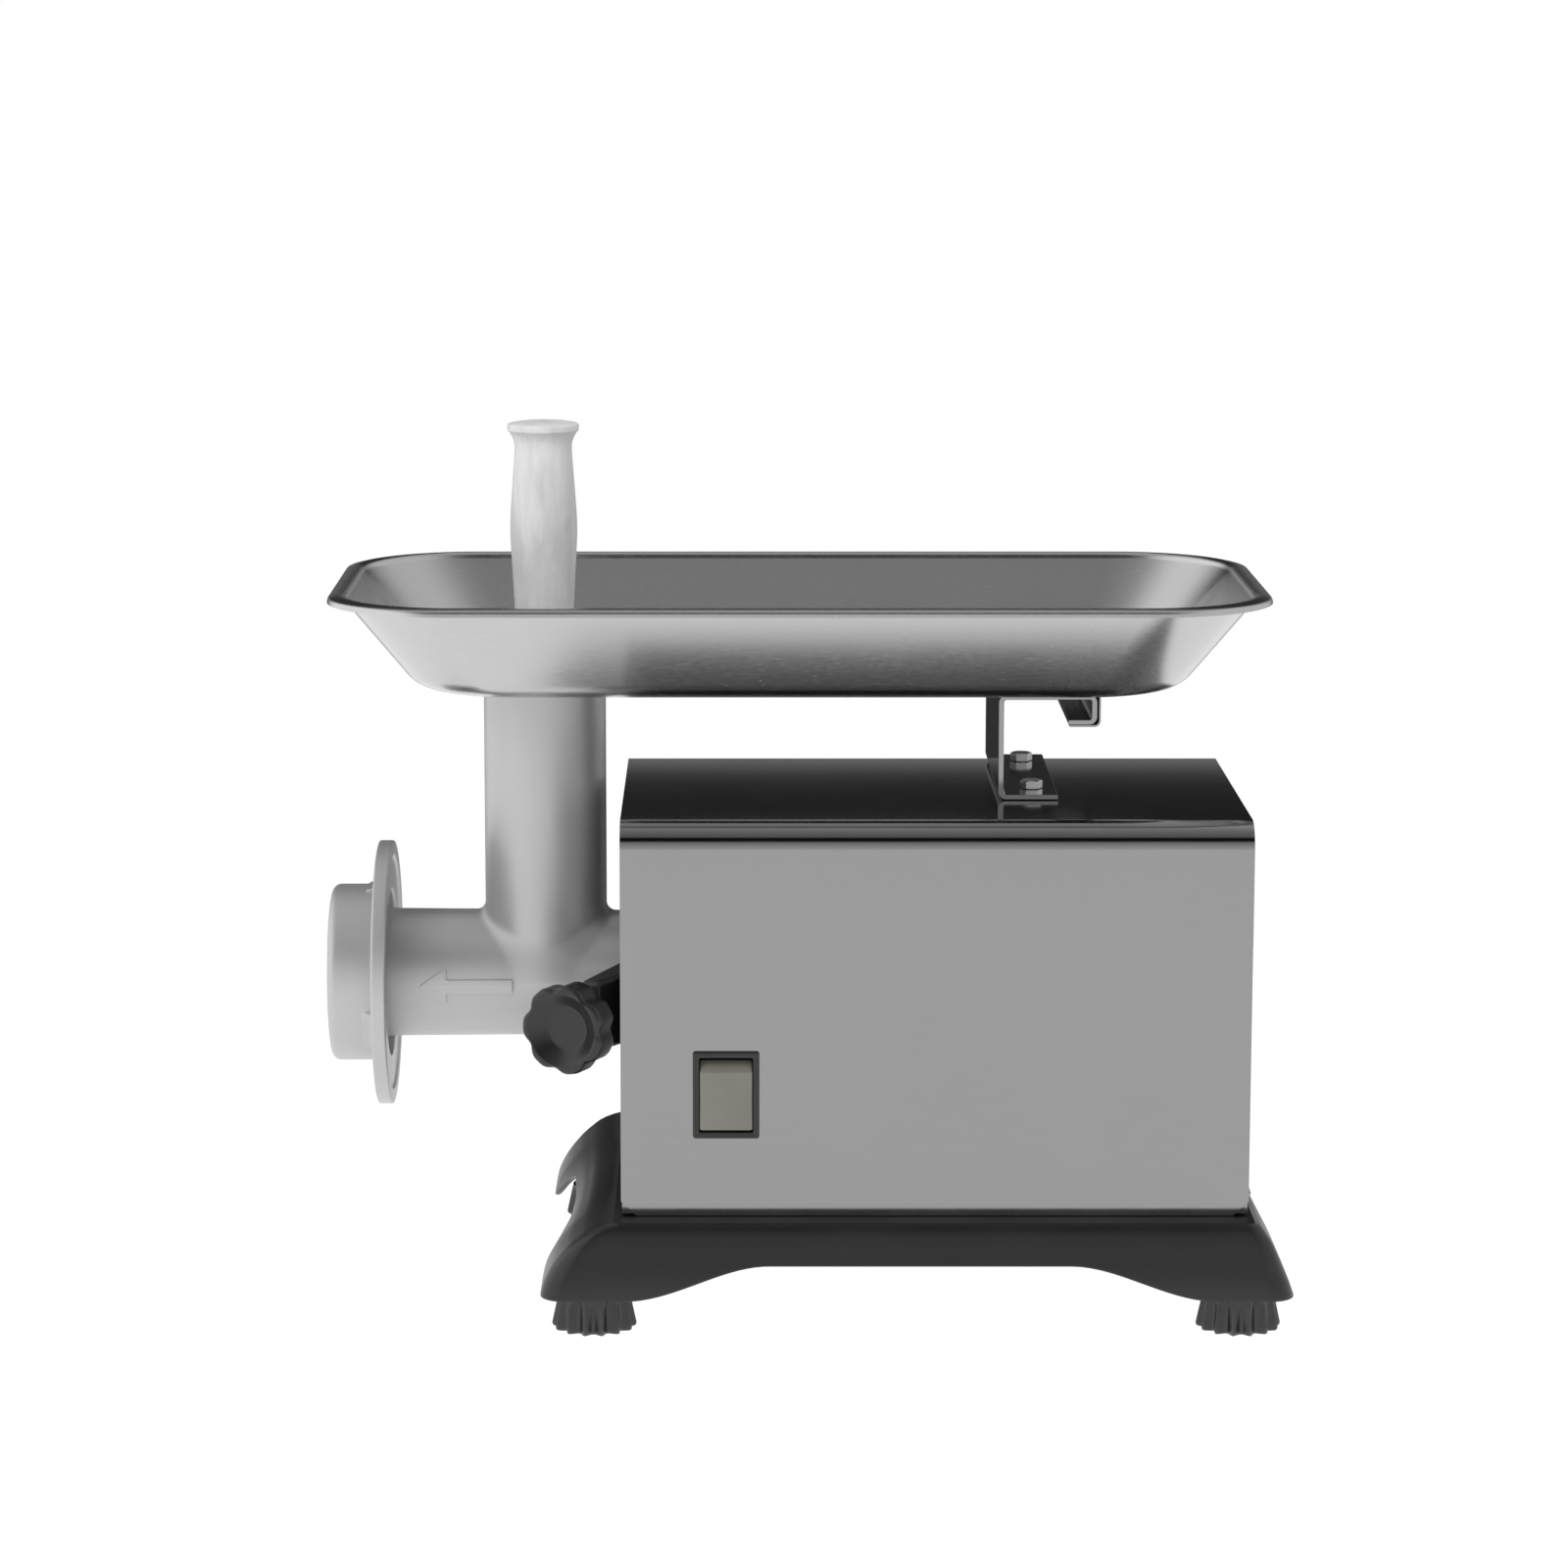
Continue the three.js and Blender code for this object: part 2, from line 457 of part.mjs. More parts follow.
function makeBarrel() {
  const { mouth, wallBack, shoulder, tailEnd, bore, tail, thread, threadEnd, bodyFront, body } = BARREL;
  const { plateSeat, plateSeatEnd, knifeRoom, knifeRoomEnd, chamberEnd, stemHole, tailBore } = BARREL;
  const top = THROAT.top - HEAD.z;
  const collar = bodyFront + 1.1;
  const outerBody = turned([[0, mouth], [thread, mouth], [thread, threadEnd], [collar, threadEnd + 5.5],
    [collar, threadEnd + 9], [bodyFront, threadEnd + 10], [body, -150], [body, shoulder], [tail, shoulder],
    [tail, tailEnd], [0, tailEnd]], "x", 28);
  const outside = join(outerBody, throatAt(rod(THROAT.outer, 0, top, "z", 28)));
  const chamber = turned([[0, mouth - 1], [plateSeat, mouth - 1], [plateSeat, plateSeatEnd],
    [knifeRoom, plateSeatEnd], [knifeRoom, knifeRoomEnd], [bore, knifeRoomEnd], [bore, chamberEnd],
    [0, chamberEnd]], "x", 28);
  const shaftWay = turned([[0, -110], [stemHole, -110], [stemHole, wallBack], [tailBore, wallBack],
    [tailBore, tailEnd + 1], [0, tailEnd + 1]], "x", 24);
  const ledge = THROAT.ledge + 3.5 - HEAD.z;
  const mouthFloor = THROAT.mouthFloor - HEAD.z;
  const throatBore = throatAt(turned([[0, 0], [THROAT.neck, 0], [THROAT.neck, ledge], [THROAT.bore, ledge],
    [THROAT.bore, mouthFloor], [THROAT.mouth, mouthFloor], [THROAT.mouth, top + 1], [0, top + 1]], "z", 28));
  const pinHole = closed(rod(KEY_PIN.bore, 30, 45, "z", 10).translate(KEY_PIN.x, 0, 0));
  return cut(outside, chamber, shaftWay, throatBore, pinHole);
}

// The ring nut: a collar over the barrel's thread and a wide flange, dished behind, with three gussets in front.
function makeRingNut() {
  const { front, lip, collar, rim, rimInner, rimFront, web, webBack, back, bore, gusset } = RING;
  const seat = PLATE.front - GAP;
  const body = turned([[lip, front], [collar - 5, front], [collar - 1.5, front + 1.5], [collar, front + 5],
    [collar, web - 1.5], [collar + 1.5, web], [rimInner, web], [rimInner, rimFront], [rim - 1, rimFront],
    [rim, rimFront + 1], [rim, back - 1], [rim - 1, back], [rimInner, back], [rimInner, webBack],
    [bore, webBack], [bore, seat], [lip, seat], [lip, front]], "x", 32);
  const gussets = [90, 210, 330].map((angle) => {
    const side = [[rimFront - 5, collar - 1.5], [rimFront - 5, collar], [rimFront - 2.5, collar + 0.8],
      [rimFront, collar + 2.6], [web, collar + 4], [web + 1, collar + 4], [web + 1, collar - 1.5]];
    return closed(extruded(side, -gusset, gusset, "y").rotateX(THREE.MathUtils.degToRad(angle - 90)));
  });
  return join(body, ...gussets);
}

function makePlate() {
  const { radius, front, back, hub, hole, keyway, rings } = PLATE;
  const disc = tube(hub, radius, front, back, "x", 32);
  const holes = rings.flatMap(([count, r]) => Array.from({ length: count }, (_, i) => {
    const a = (i / count) * 2 * Math.PI + 0.2;
    return closed(rod(hole, front - 1, back + 1, "x", 6).translate(0, r * Math.cos(a), r * Math.sin(a)));
  }));
  return cut(disc, ...holes, block(front - 1, back + 1, -keyway, keyway, radius - 3.2, radius + 5));
}

function makeKnife() {
  const { front, back, hub, reach, arm, square } = KNIFE;
  const arms = [0, 90, 180, 270].map((a) =>
    closed(block(front, back, -arm, arm, 4, reach).rotateX(THREE.MathUtils.degToRad(a))));
  const hole = square + GAP;
  return cut(join(rod(hub, front, back + 0.5, "x", 20), ...arms), block(-224, -213, -hole, hole, -hole, hole));
}

// One section across the worm: the core with the flight's arm, turned on as it goes along the axis.
function wormRing(x) {
  const { core, flight, pitch } = WORM;
  const turn = ((x - WORM.from) / pitch) * 360;
  const outline = [...arc(0, 0, flight, turn - 20, turn + 20, 2), ...arc(0, 0, core, turn + 36, turn + 324, 8)];
  return outline.map(([y, z]) => [x, y, z]);
}

function makeWorm() {
  const { from, to, tang, neck, stem, stemEnd, tangEnd, nose, noseFront } = WORM;
  const steps = 30;
  const screw = loft(Array.from({ length: steps + 1 }, (_, i) => wormRing(from + ((to - from) * i) / steps)));
  const shoulder = KNIFE.back + 0.7;
  const shaft = turned([[0, shoulder], [neck, shoulder], [neck, to - 1], [stem, to - 1], [stem, stemEnd],
    [0, stemEnd]], "x", 16);
  const square = KNIFE.square;
  const knifeSeat = block(-223, -213, -square, square, -square, square);
  const tip = rod(nose, noseFront, -222, "x", 16);
  return join(screw, shaft, knifeSeat, tip, block(-90, tangEnd, -tang / 2, tang / 2, -tang / 2, tang / 2));
}

add("head_barrel", makeBarrel(), CAST, head);
add("ring_nut", makeRingNut(), CAST, head);
add("grinding_plate", makePlate(), STEEL, head);
add("plate_key_pin", closed(rod(KEY_PIN.radius, KEY_PIN.from, KEY_PIN.to, "z", 10).translate(KEY_PIN.x, 0, 0)),
  STEEL, head);
add("knife", makeKnife(), STEEL, head);
add("worm", makeWorm(), STAINLESS, head);
add("thrust_washer", tube(THRUST_WASHER.inner, THRUST_WASHER.outer, THRUST_WASHER.from, THRUST_WASHER.to, "x", 20),
  WHITE_PLASTIC, head);

// ---- gear train ----
// A spur gear between two places on the X axis, with a tooth centred at an angle from +Y towards +Z.
function spurGear(teeth, module, from, to, tooth, bore = 0) {
  const pitchRadius = (teeth * module) / 2;
  const [tip, root] = [pitchRadius + 0.75 * module, pitchRadius - 1.05 * module];
  const step = 360 / teeth;
  const outline = [];
  for (let i = 0; i < teeth; i++) {
    const middle = tooth + i * step;
    for (const [radius, shift] of [[root, -0.27], [tip, -0.11], [tip, 0.11], [root, 0.27]]) {
      const a = THREE.MathUtils.degToRad(middle + shift * step);
      outline.push([radius * Math.cos(a), radius * Math.sin(a)]);
    }
  }
  const hole = bore ? [arc(0, 0, bore, 360, 15, 23)] : [];
  return extruded(outline, from, to, "x", hole);
}

const angleTo = (from, to) => THREE.MathUtils.radToDeg(Math.atan2(to.z - from.z, to.y - from.y));
const halfTooth = (teeth) => 180 / teeth;

const layshaftGroup = groupAt(0, LAYSHAFT.y, LAYSHAFT.z);
const motorGroup = groupAt(0, MOTOR.y, MOTOR.z);

function makeOutputShaft() {
  const { from, to, cup, journal, tail, step } = OUTPUT_SHAFT;
  const body = turned([[0, from], [cup, from], [cup, COVER.x0 - 2], [journal, COVER.x0 - 2], [journal, step],
    [tail, step], [tail, to], [0, to]], "x", 24);
  const half = WORM.tang / 2 + GAP;
  return cut(body, block(from - 1, WORM.tangEnd + 2, -half, half, -half, half));
}

function makeLayshaft() {
  const { pinion, module, x0, x1 } = SECOND_STAGE;
  const { from, to, journal, journalEnd, body, bodyEnd } = LAY_SHAFT;
  const teeth = spurGear(pinion, module, x0 - 1, x1 + 1, angleTo(LAYSHAFT, HEAD));
  const shaft = turned([[0, from], [journal, from], [journal, journalEnd], [body, journalEnd], [body, bodyEnd],
    [journal, bodyEnd], [journal, to], [0, to]], "x", 20);
  return join(teeth, shaft);
}

function makeMotorShaft() {
  const { pinion, module, x0, x1 } = FIRST_STAGE;
  const teeth = spurGear(pinion, module, x0 - 1, x1 + 1, angleTo(MOTOR, LAYSHAFT));
  return join(teeth, rod(MOTOR_SHAFT.radius, x1 + 0.5, MOTOR_SHAFT.to, "x", 16));
}

const second = SECOND_STAGE, first = FIRST_STAGE;
add("output_shaft", makeOutputShaft(), STEEL, head);
add("output_gear", spurGear(second.gear, second.module, second.x0, second.x1,
  angleTo(HEAD, LAYSHAFT) + halfTooth(second.gear), OUTPUT_SHAFT.journal + GAP), STEEL, head);
add("layshaft", makeLayshaft(), STEEL, layshaftGroup);
add("layshaft_gear", spurGear(first.gear, first.module, first.x0, first.x1,
  angleTo(LAYSHAFT, MOTOR) + halfTooth(first.gear), LAY_SHAFT.body + GAP), WHITE_PLASTIC, layshaftGroup);
add("motor_shaft", makeMotorShaft(), STEEL, motorGroup);

const bearing = (inner, outer, from, to) => tube(inner + GAP, outer, from, to, "x", 16);
add("output_bearing_front", bearing(OUTPUT_SHAFT.journal, 22, -46.5, -38.4), STEEL, head);
add("output_bearing_rear", bearing(OUTPUT_SHAFT.tail, 16, -13.6, -5), STEEL, head);
add("oil_seal", bearing(OUTPUT_SHAFT.journal, 20, -51.7, -47.2), RUBBER, head);
add("layshaft_bearing_front", bearing(LAY_SHAFT.journal, 11, -46.5, -38.4), STEEL, layshaftGroup);
add("layshaft_bearing_rear", bearing(LAY_SHAFT.journal, 11, 17, 25), STEEL, layshaftGroup);
add("motor_bearing_front", bearing(7.5, 17.5, 18, 28), STEEL, motorGroup);
add("motor_bearing_rear", bearing(7.5, 17.5, 141, 151), STEEL, motorGroup);

// A straight hole along X about one of the three shafts.
const borehole = (axis, radius, from, to) => closed(rod(radius, from, to, "x", 24).translate(0, axis.y, axis.z));

function makeGearboxCover() {
  const plate = block(COVER.x0, COVER.x1, CASE.y0, CASE.y1, 64, CASE.z1);
  return cut(plate, borehole(HEAD, 12.8, -60, -30), borehole(HEAD, 20.3, -60, -47), borehole(HEAD, 22.3, -47, -30),
    borehole(LAYSHAFT, 11.3, -47, -30));
}

function makeGearboxCase() {
  const { x0, web, webEnd, wall, x1, y0, y1, z1 } = CASE;
  const box = block(x0, x1, y0, y1, HOUSING.z0, z1);
  return cut(box, block(x0 - 1, web, y0 + 4, y1 - 4, 66, z1 - 4),
    borehole(LAYSHAFT, 10, web - 1, webEnd + 1), borehole(LAYSHAFT, 38.6, webEnd, wall),
    borehole(MOTOR, 13, webEnd, wall + 2), borehole(HEAD, 16.3, web - 1, webEnd - 4),
    borehole(LAYSHAFT, 11.3, wall - 1, wall + 10), borehole(MOTOR, 17.8, wall + 1, x1 + 1));
}

add("gearbox_cover", makeGearboxCover(), ALUMINIUM);
add("gearbox_case", makeGearboxCase(), ALUMINIUM);

// ---- motor ----
function makeStator() {
  const { x0, x1, outer, bore } = STATOR;
  const [coilInner, coilOuter, overhang] = [34, 50, 12];
  return turned([[bore, x0], [coilInner, x0], [coilInner, x0 - overhang], [coilOuter, x0 - overhang],
    [coilOuter, x0], [outer, x0], [outer, x1], [coilOuter, x1], [coilOuter, x1 + overhang],
    [coilInner, x1 + overhang], [coilInner, x1], [bore, x1], [bore, x0]], "x", 24);
}

function makeFan() {
  const { blades, bore, hub, radius, x0, disc, x1 } = FAN;
  const vanes = Array.from({ length: blades }, (_, i) => {
    const vane = block(x0 + 2, x1, -1, 1, hub - 2, radius - 1);
    return closed(vane.rotateX((i / blades) * 2 * Math.PI));
  });
  const wheel = turned([[bore, x0], [radius, x0], [radius, x0 + disc], [hub, x0 + disc], [hub, x1], [bore, x1],
    [bore, x0]], "x", 20);
  return join(wheel, ...vanes);
}

function makeMotorCase() {
  const { x0, x1, outer, inner, floor, bearingHole } = MOTOR_CASE;
  return turned([[bearingHole, x0], [outer, x0], [outer, x1], [inner, x1], [inner, floor], [bearingHole, floor],
    [bearingHole, x0]], "x", 24);
}

function makeEndShield() {
  const { hole, bearingBore, hubRadius, rimEnd, inside, end } = END_SHIELD;
  const face = MOTOR_CASE.x1 + GAP;
  return turned([[hole, inside], [hole, end], [hubRadius, end], [MOTOR_CASE.outer, rimEnd],
    [MOTOR_CASE.outer, face], [bearingBore, face], [bearingBore, inside], [hole, inside]], "x", 24);
}

add("motor_case", makeMotorCase(), ALUMINIUM, motorGroup);
add("stator_core", makeStator(), LAMINATION, motorGroup);
add("rotor_core", tube(7.8, STATOR.bore - 0.6, STATOR.x0, STATOR.x1, "x", 20), STEEL, motorGroup);
add("motor_end_shield", makeEndShield(), ALUMINIUM, motorGroup);
add("cooling_fan", makeFan(), BLACK_PLASTIC, motorGroup);

// ---- electrical pieces ----
function makeCapacitorClip() {
  const { y, z, radius } = CAPACITOR;
  const strap = sheetOutline([[y + radius + 11, 54.9], [y + radius + 0.9, 54.9],
    ...arc(y, z, radius + 0.9, 0, 180, 10), [y - radius - 0.9, 54.9], [y - radius - 11, 54.9]], 1);
  return extruded(strap, 84, 98, "x");
}

function makeSwitchBezel() {
  const { x0, x1, z0, z1, front, lap, wall } = SWITCH;
  const outer = lap + 0.4, inner = outer + wall;
  const flange = block(x0, x1, front, HOUSING.y0 - GAP, z0, z1);
  const body = block(x0 + outer, x1 - outer, front + 1, -84, z0 + outer, z1 - outer);
  const well = block(x0 + inner, x1 - inner, front - 1, -88, z0 + inner, z1 - inner);
  return cut(join(flange, body), well);
}

// The rocker's section across X, measured outwards from its pivot and up.
function makeRocker() {
  const [pivotY, pivotZ] = [SWITCH.pivotY, (SWITCH.z0 + SWITCH.z1) / 2 - 0.6];
  const outline = [[7.6, -16.6], [7.6, 11.8], [2, 17], [-10, 12], [-12, 0], [-10, -12], [2, -16.9]];
  const section = outline.map(([out, up]) => [pivotY - out, pivotZ + up]);
  return extruded(section, SWITCH.x0 + 3.4, SWITCH.x1 - 3.4, "x");
}

// The cable's gland: a threaded body through the sheet, a flange outside it and a tapered nose.
function makeGland() {
  const { bore, body, flange, length } = GLAND;
  return turned([[bore, -9], [body, -9], [body, GAP], [flange, GAP], [flange, 6], [flange - 2, 8], [7.5, length],
    [bore, length], [bore, -9]], "y", 20);
}

add("switch_bezel", makeSwitchBezel(), BLACK_PLASTIC);
add("rocker", makeRocker(), GREY_PLASTIC);
add("capacitor", closed(rod(CAPACITOR.radius, CAPACITOR.x0, CAPACITOR.x1, "x", 24)
  .translate(0, CAPACITOR.y, CAPACITOR.z)), ALUMINIUM);
add("capacitor_clip", makeCapacitorClip(), ZINC);
const glandGroup = groupAt(GLAND.x, HOUSING.y1, GLAND.z);
add("cable_gland", makeGland(), BLACK_PLASTIC, glandGroup);
add("gland_nut", hexNut(GLAND.hole, GLAND.nut, -6, -1.4, "y"), BLACK_PLASTIC, glandGroup);

// ---- tray, its bracket and its hook ----
function makeBracket() {
  const { y0, y1, sheet, bend, boltX, boltY, bore, footEnd, post, arm, drop, lip, lipEnd } = BRACKET;
  const foot = HOUSING.z1 + GAP + sheet / 2;
  const path = [[footEnd, foot], [post + bend, foot], [post, foot + bend], [post, arm - bend], [post + bend, arm],
    [drop - bend, arm], [drop, arm - bend], [drop, lip + bend], [drop - bend, lip], [lipEnd, lip]];
  const strip = extruded(sheetOutline(path, sheet), y0, y1, "y");
  return cut(strip, ...boltY.map((y) => closed(rod(bore, 240, 252, "z", 12).translate(boltX, y, 0))));
}

function makeHook() {
  const { plateEnd, plate, drop, lip, lipEnd, sheet, bend } = HOOK;
  const path = [[plateEnd, plate], [drop + bend, plate], [drop, plate - bend], [drop, lip + bend],
    [drop - bend, lip], [lipEnd, lip]];
  return extruded(sheetOutline(path, sheet), BRACKET.y0 + 4, BRACKET.y1 - 4, "y");
}

// The pan's section from its floor to its rim, as [distance in from the edge, height].
function traySection() {
  const { rim, floor, floorInset, fillet } = TRAY;
  return [...arc(floorInset, floor + fillet, fillet, 270, 218, 4),
    ...TRAY_RIM.map(([inset, drop]) => [inset, rim - drop])];
}

function trayRing(inset, z) {
  const { length, width, x, y, corner, steeper } = TRAY;
  const radius = corner - inset * 0.42;
  return roundedRectangle(x - length / 2 + inset, x + length / 2 - inset, y - width / 2 + steeper * inset,
    y + width / 2 - steeper * inset, radius, 4).map(([a, b]) => [a, b, z]);
}

function makeTray() {
  const section = traySection();
  const outside = offsetPath(section, -TRAY.sheet / 2);
  const inside = offsetPath(section, TRAY.sheet / 2).reverse();
  const pan = loft([...outside, ...inside].map(([inset, z]) => trayRing(inset, z)));
  const spout = tube(SPOUT.inner, SPOUT.outer, SPOUT.bottom, TRAY.floor + 0.5, "z", 28);
  const hole = rod(SPOUT.inner, SPOUT.bottom - 5, TRAY.floor + 10, "z", 28);
  const atThroat = (geometry) => closed(geometry.translate(THROAT_X, TRAY.y, 0));
  return cut(join(pan, atThroat(spout)), atThroat(hole));
}

add("tray_bracket", makeBracket(), STAINLESS);
add("tray_hook", makeHook(), STAINLESS);
add("tray", makeTray(), STAINLESS);
BRACKET.boltY.forEach((y, i) => {
  const seat = HOUSING.z1 + 2 * GAP + BRACKET.sheet;
  const hexagon = rod(BOLT.head, seat, seat + BOLT.headHigh, "z", 6);
  const bolt = join(hexagon, rod(BRACKET.bolt, BOLT.end, seat + 1, "z", 12));
  add(`bracket_bolt_${i + 1}`, bolt, ZINC).position.set(BRACKET.boltX, y, 0);
  const nut = hexNut(BRACKET.bolt + 0.4, BOLT.head, BOLT.nut, HOUSING.z1 - HOUSING.sheet - GAP, "z");
  add(`bracket_nut_${i + 1}`, nut, ZINC).position.set(BRACKET.boltX, y, 0);
});

// ---- pusher ----
function makePusher() {
  const { foot, bottom, shank } = PUSHER;
  return turned([[0, bottom], [foot - 1, bottom], [foot, bottom + 1], [foot, bottom + 10], [foot - 3, bottom + 14],
    [shank, bottom + 20], [shank, 300], ...PUSHER_HANDLE, [0, PUSHER_HANDLE.at(-1)[1]]], "z", 20);
}
add("pusher", makePusher(), WHITE_PLASTIC).position.set(THROAT_X, HEAD.y, 0);

export default grinder;
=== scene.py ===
import json
import math
from contextlib import contextmanager

import bmesh
import bpy
import numpy as np
import openvdb
from mathutils import Matrix, Vector


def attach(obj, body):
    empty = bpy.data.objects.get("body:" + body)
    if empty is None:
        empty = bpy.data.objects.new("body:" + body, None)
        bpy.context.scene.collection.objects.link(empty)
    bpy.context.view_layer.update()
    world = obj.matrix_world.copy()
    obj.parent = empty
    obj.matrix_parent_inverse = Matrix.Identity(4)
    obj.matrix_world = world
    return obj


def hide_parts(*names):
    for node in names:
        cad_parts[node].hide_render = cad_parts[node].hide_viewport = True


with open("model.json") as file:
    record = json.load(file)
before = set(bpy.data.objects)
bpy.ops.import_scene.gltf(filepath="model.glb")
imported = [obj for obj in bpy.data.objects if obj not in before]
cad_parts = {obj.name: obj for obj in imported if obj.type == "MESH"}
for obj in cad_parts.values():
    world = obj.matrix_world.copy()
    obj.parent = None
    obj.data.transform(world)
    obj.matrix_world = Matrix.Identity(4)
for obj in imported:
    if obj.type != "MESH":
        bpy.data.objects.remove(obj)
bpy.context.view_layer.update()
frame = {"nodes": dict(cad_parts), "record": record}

MM = 0.001
HEAD = (0.0, 16.5, 147.5)
THROAT_X = -128.2
HOUSING = dict(x0=-88.0, x1=214.6, y0=-111.8, y1=93.8, z0=54.3, z1=246.0, bend=13.0, sheet=1.0)
KNOB_AT = (-116.0, -121.0, 147.5)
KNOB_ANGLE = math.radians(26)
FEET = {"front_left": (-101, -114.5), "front_right": (210, -114.5),
        "rear_left": (-101, 97.6), "rear_right": (210, 97.6)}
PANEL_SCREWS = [(-80, 88), (-80, 212), (206.6, 88), (206.6, 212)]
SWITCH = dict(x0=-53.3, x1=-21.3, z0=92.8, z1=135.3, front=-113.8, pivot_y=-106.0)
GLAND = (185.0, 93.8, 85.0)
BRACKET_BOLTS = [(113, -25.5), (113, 58.5)]
CAMERA = dict(lens=109.8, sensor=36, shift=0.0299, place=(-0.032, -2.351, 0.6444), downwards=9.607)


# ---------------------------------------------------------------- camera
def make_camera():
    data = bpy.data.cameras.new("camera")
    data.sensor_width = CAMERA["sensor"]
    data.lens = CAMERA["lens"]
    data.shift_x = CAMERA["shift"]
    camera = bpy.data.objects.new("camera", data)
    camera.location = CAMERA["place"]
    camera.rotation_euler = (math.radians(90 - CAMERA["downwards"]), 0, 0)
    bpy.context.collection.objects.link(camera)
    bpy.context.scene.camera = camera


make_camera()


# ---------------------------------------------------------------- materials
class Graph:
    """A node tree and short calls that add and join its nodes."""

    def __init__(self, tree):
        self.tree = tree

    def node(self, kind, inputs=None, **settings):
        made = self.tree.nodes.new(kind)
        for key, value in settings.items():
            setattr(made, key, value)
        for key, value in (inputs or {}).items():
            if isinstance(value, bpy.types.NodeSocket):
                self.tree.links.new(value, made.inputs[key])
            else:
                made.inputs[key].default_value = value
        return made

    def maths(self, operation, a, b=0.0):
        return self.node("ShaderNodeMath", {0: a, 1: b}, operation=operation).outputs[0]

    def band(self, value, low, high, out_low, out_high, **settings):
        inputs = {"Value": value, "From Min": low, "From Max": high, "To Min": out_low, "To Max": out_high}
        return self.node("ShaderNodeMapRange", inputs, **settings).outputs["Result"]

    def blend(self, a, share, b, other_share):
        """Two values added, each by its share."""
        return self.maths("ADD", self.maths("MULTIPLY", a, share), self.maths("MULTIPLY", b, other_share))


class Nodes(Graph):
    """A Principled material, its sockets set by name."""

    def __init__(self, name, **sockets):
        self.material = bpy.data.materials.new(name)
        self.material.use_nodes = True
        super().__init__(self.material.node_tree)
        self.shader = self.tree.nodes["Principled BSDF"]
        for socket, value in sockets.items():
            self.shader.inputs[socket.replace("_", " ")].default_value = value

    def place(self, scale=(1, 1, 1)):
        """The place on the object in metres, stretched along its axes."""
        where = self.node("ShaderNodeTexCoord").outputs["Object"]
        return self.node("ShaderNodeMapping", {"Vector": where, "Scale": scale}).outputs["Vector"]

    def noise(self, place, scale, detail=3.0, roughness=0.5, distortion=0.0):
        inputs = {"Vector": place, "Scale": scale, "Detail": detail, "Roughness": roughness,
                  "Distortion": distortion}
        return self.node("ShaderNodeTexNoise", inputs).outputs["Fac"]

    def spread(self, value, low=0.3, high=0.7):
        """A noise's middle range stretched to run from nought to one."""
        return self.band(value, low, high, 0, 1)

    def mixed(self, amount, a, b):
        """Two colours, as values or sockets, mixed by an amount."""
        made = self.node("ShaderNodeMix", data_type="RGBA")
        for index, value in ((0, amount), (6, a), (7, b)):
            if isinstance(value, bpy.types.NodeSocket):
                self.tree.links.new(value, made.inputs[index])
            else:
                made.inputs[index].default_value = value if index == 0 else (*value, 1)
        return made.outputs[2]

    def edges(self, low=0.5, high=0.56):
        """One along convex edges and nought on flats."""
        return self.band(self.node("ShaderNodeNewGeometry").outputs["Pointiness"], low, high, 0.0, 1.0)

    def bump(self, height, strength, distance):
        inputs = {"Height": height, "Strength": strength, "Distance": distance}
        return self.node("ShaderNodeBump", inputs).outputs["Normal"]

    def finish(self, colour=None, roughness=None, normal=None):
        for value, socket in ((colour, "Base Color"), (roughness, "Roughness"), (normal, "Normal")):
            if value is not None:
                self.tree.links.new(value, self.shader.inputs[socket])
        return self.material


def grey(value, warmth=0.0):
    """A grey, with its red raised and its blue lowered by its warmth."""
    return (value * (1 + warmth), value, value * (1 - warmth))


def brushed_steel(name, shade, rough, grain, along=(1, 1, 1), depth=0.00002, spread=0.12):
    """Rolled and brushed sheet: fine scratches drawn along one way, with slow clouds of colour and gloss."""
    n = Nodes(name, Metallic=1.0)
    lines = n.noise(n.place(along), grain, 4, 0.6)
    clouds = n.noise(n.place(), 14, 2, 0.5)
    both = n.blend(lines, 0.6, clouds, 0.4)
    colour = n.mixed(n.spread(both), grey(shade * (1 - spread)), grey(shade * (1 + spread)))
    roughness = n.band(both, 0.3, 0.7, rough * 0.85, rough * 1.2)
    return n.finish(colour, roughness, n.bump(lines, 0.3, depth))


def cast_metal(name, shade, rough, metallic=0.9):
    """A sand casting, tumbled and tinned: soft mottling, fine pits and brighter worn edges."""
    n = Nodes(name, Metallic=metallic)
    mottle = n.noise(n.place(), 45, 4, 0.5)
    pits = n.noise(n.place(), 900, 3, 0.6)
    base = n.mixed(n.spread(mottle), grey(shade * 0.975, 0.002), grey(shade * 1.02, 0.002))
    colour = n.mixed(n.maths("MULTIPLY", n.edges(0.52, 0.6), 0.25), base, grey(min(1, shade * 1.2)))
    height = n.maths("ADD", n.maths("MULTIPLY", pits, 0.4), mottle)
    roughness = n.band(mottle, 0.3, 0.7, rough * 0.92, rough * 1.1)
    return n.finish(colour, roughness, n.bump(height, 0.05, 0.0002))


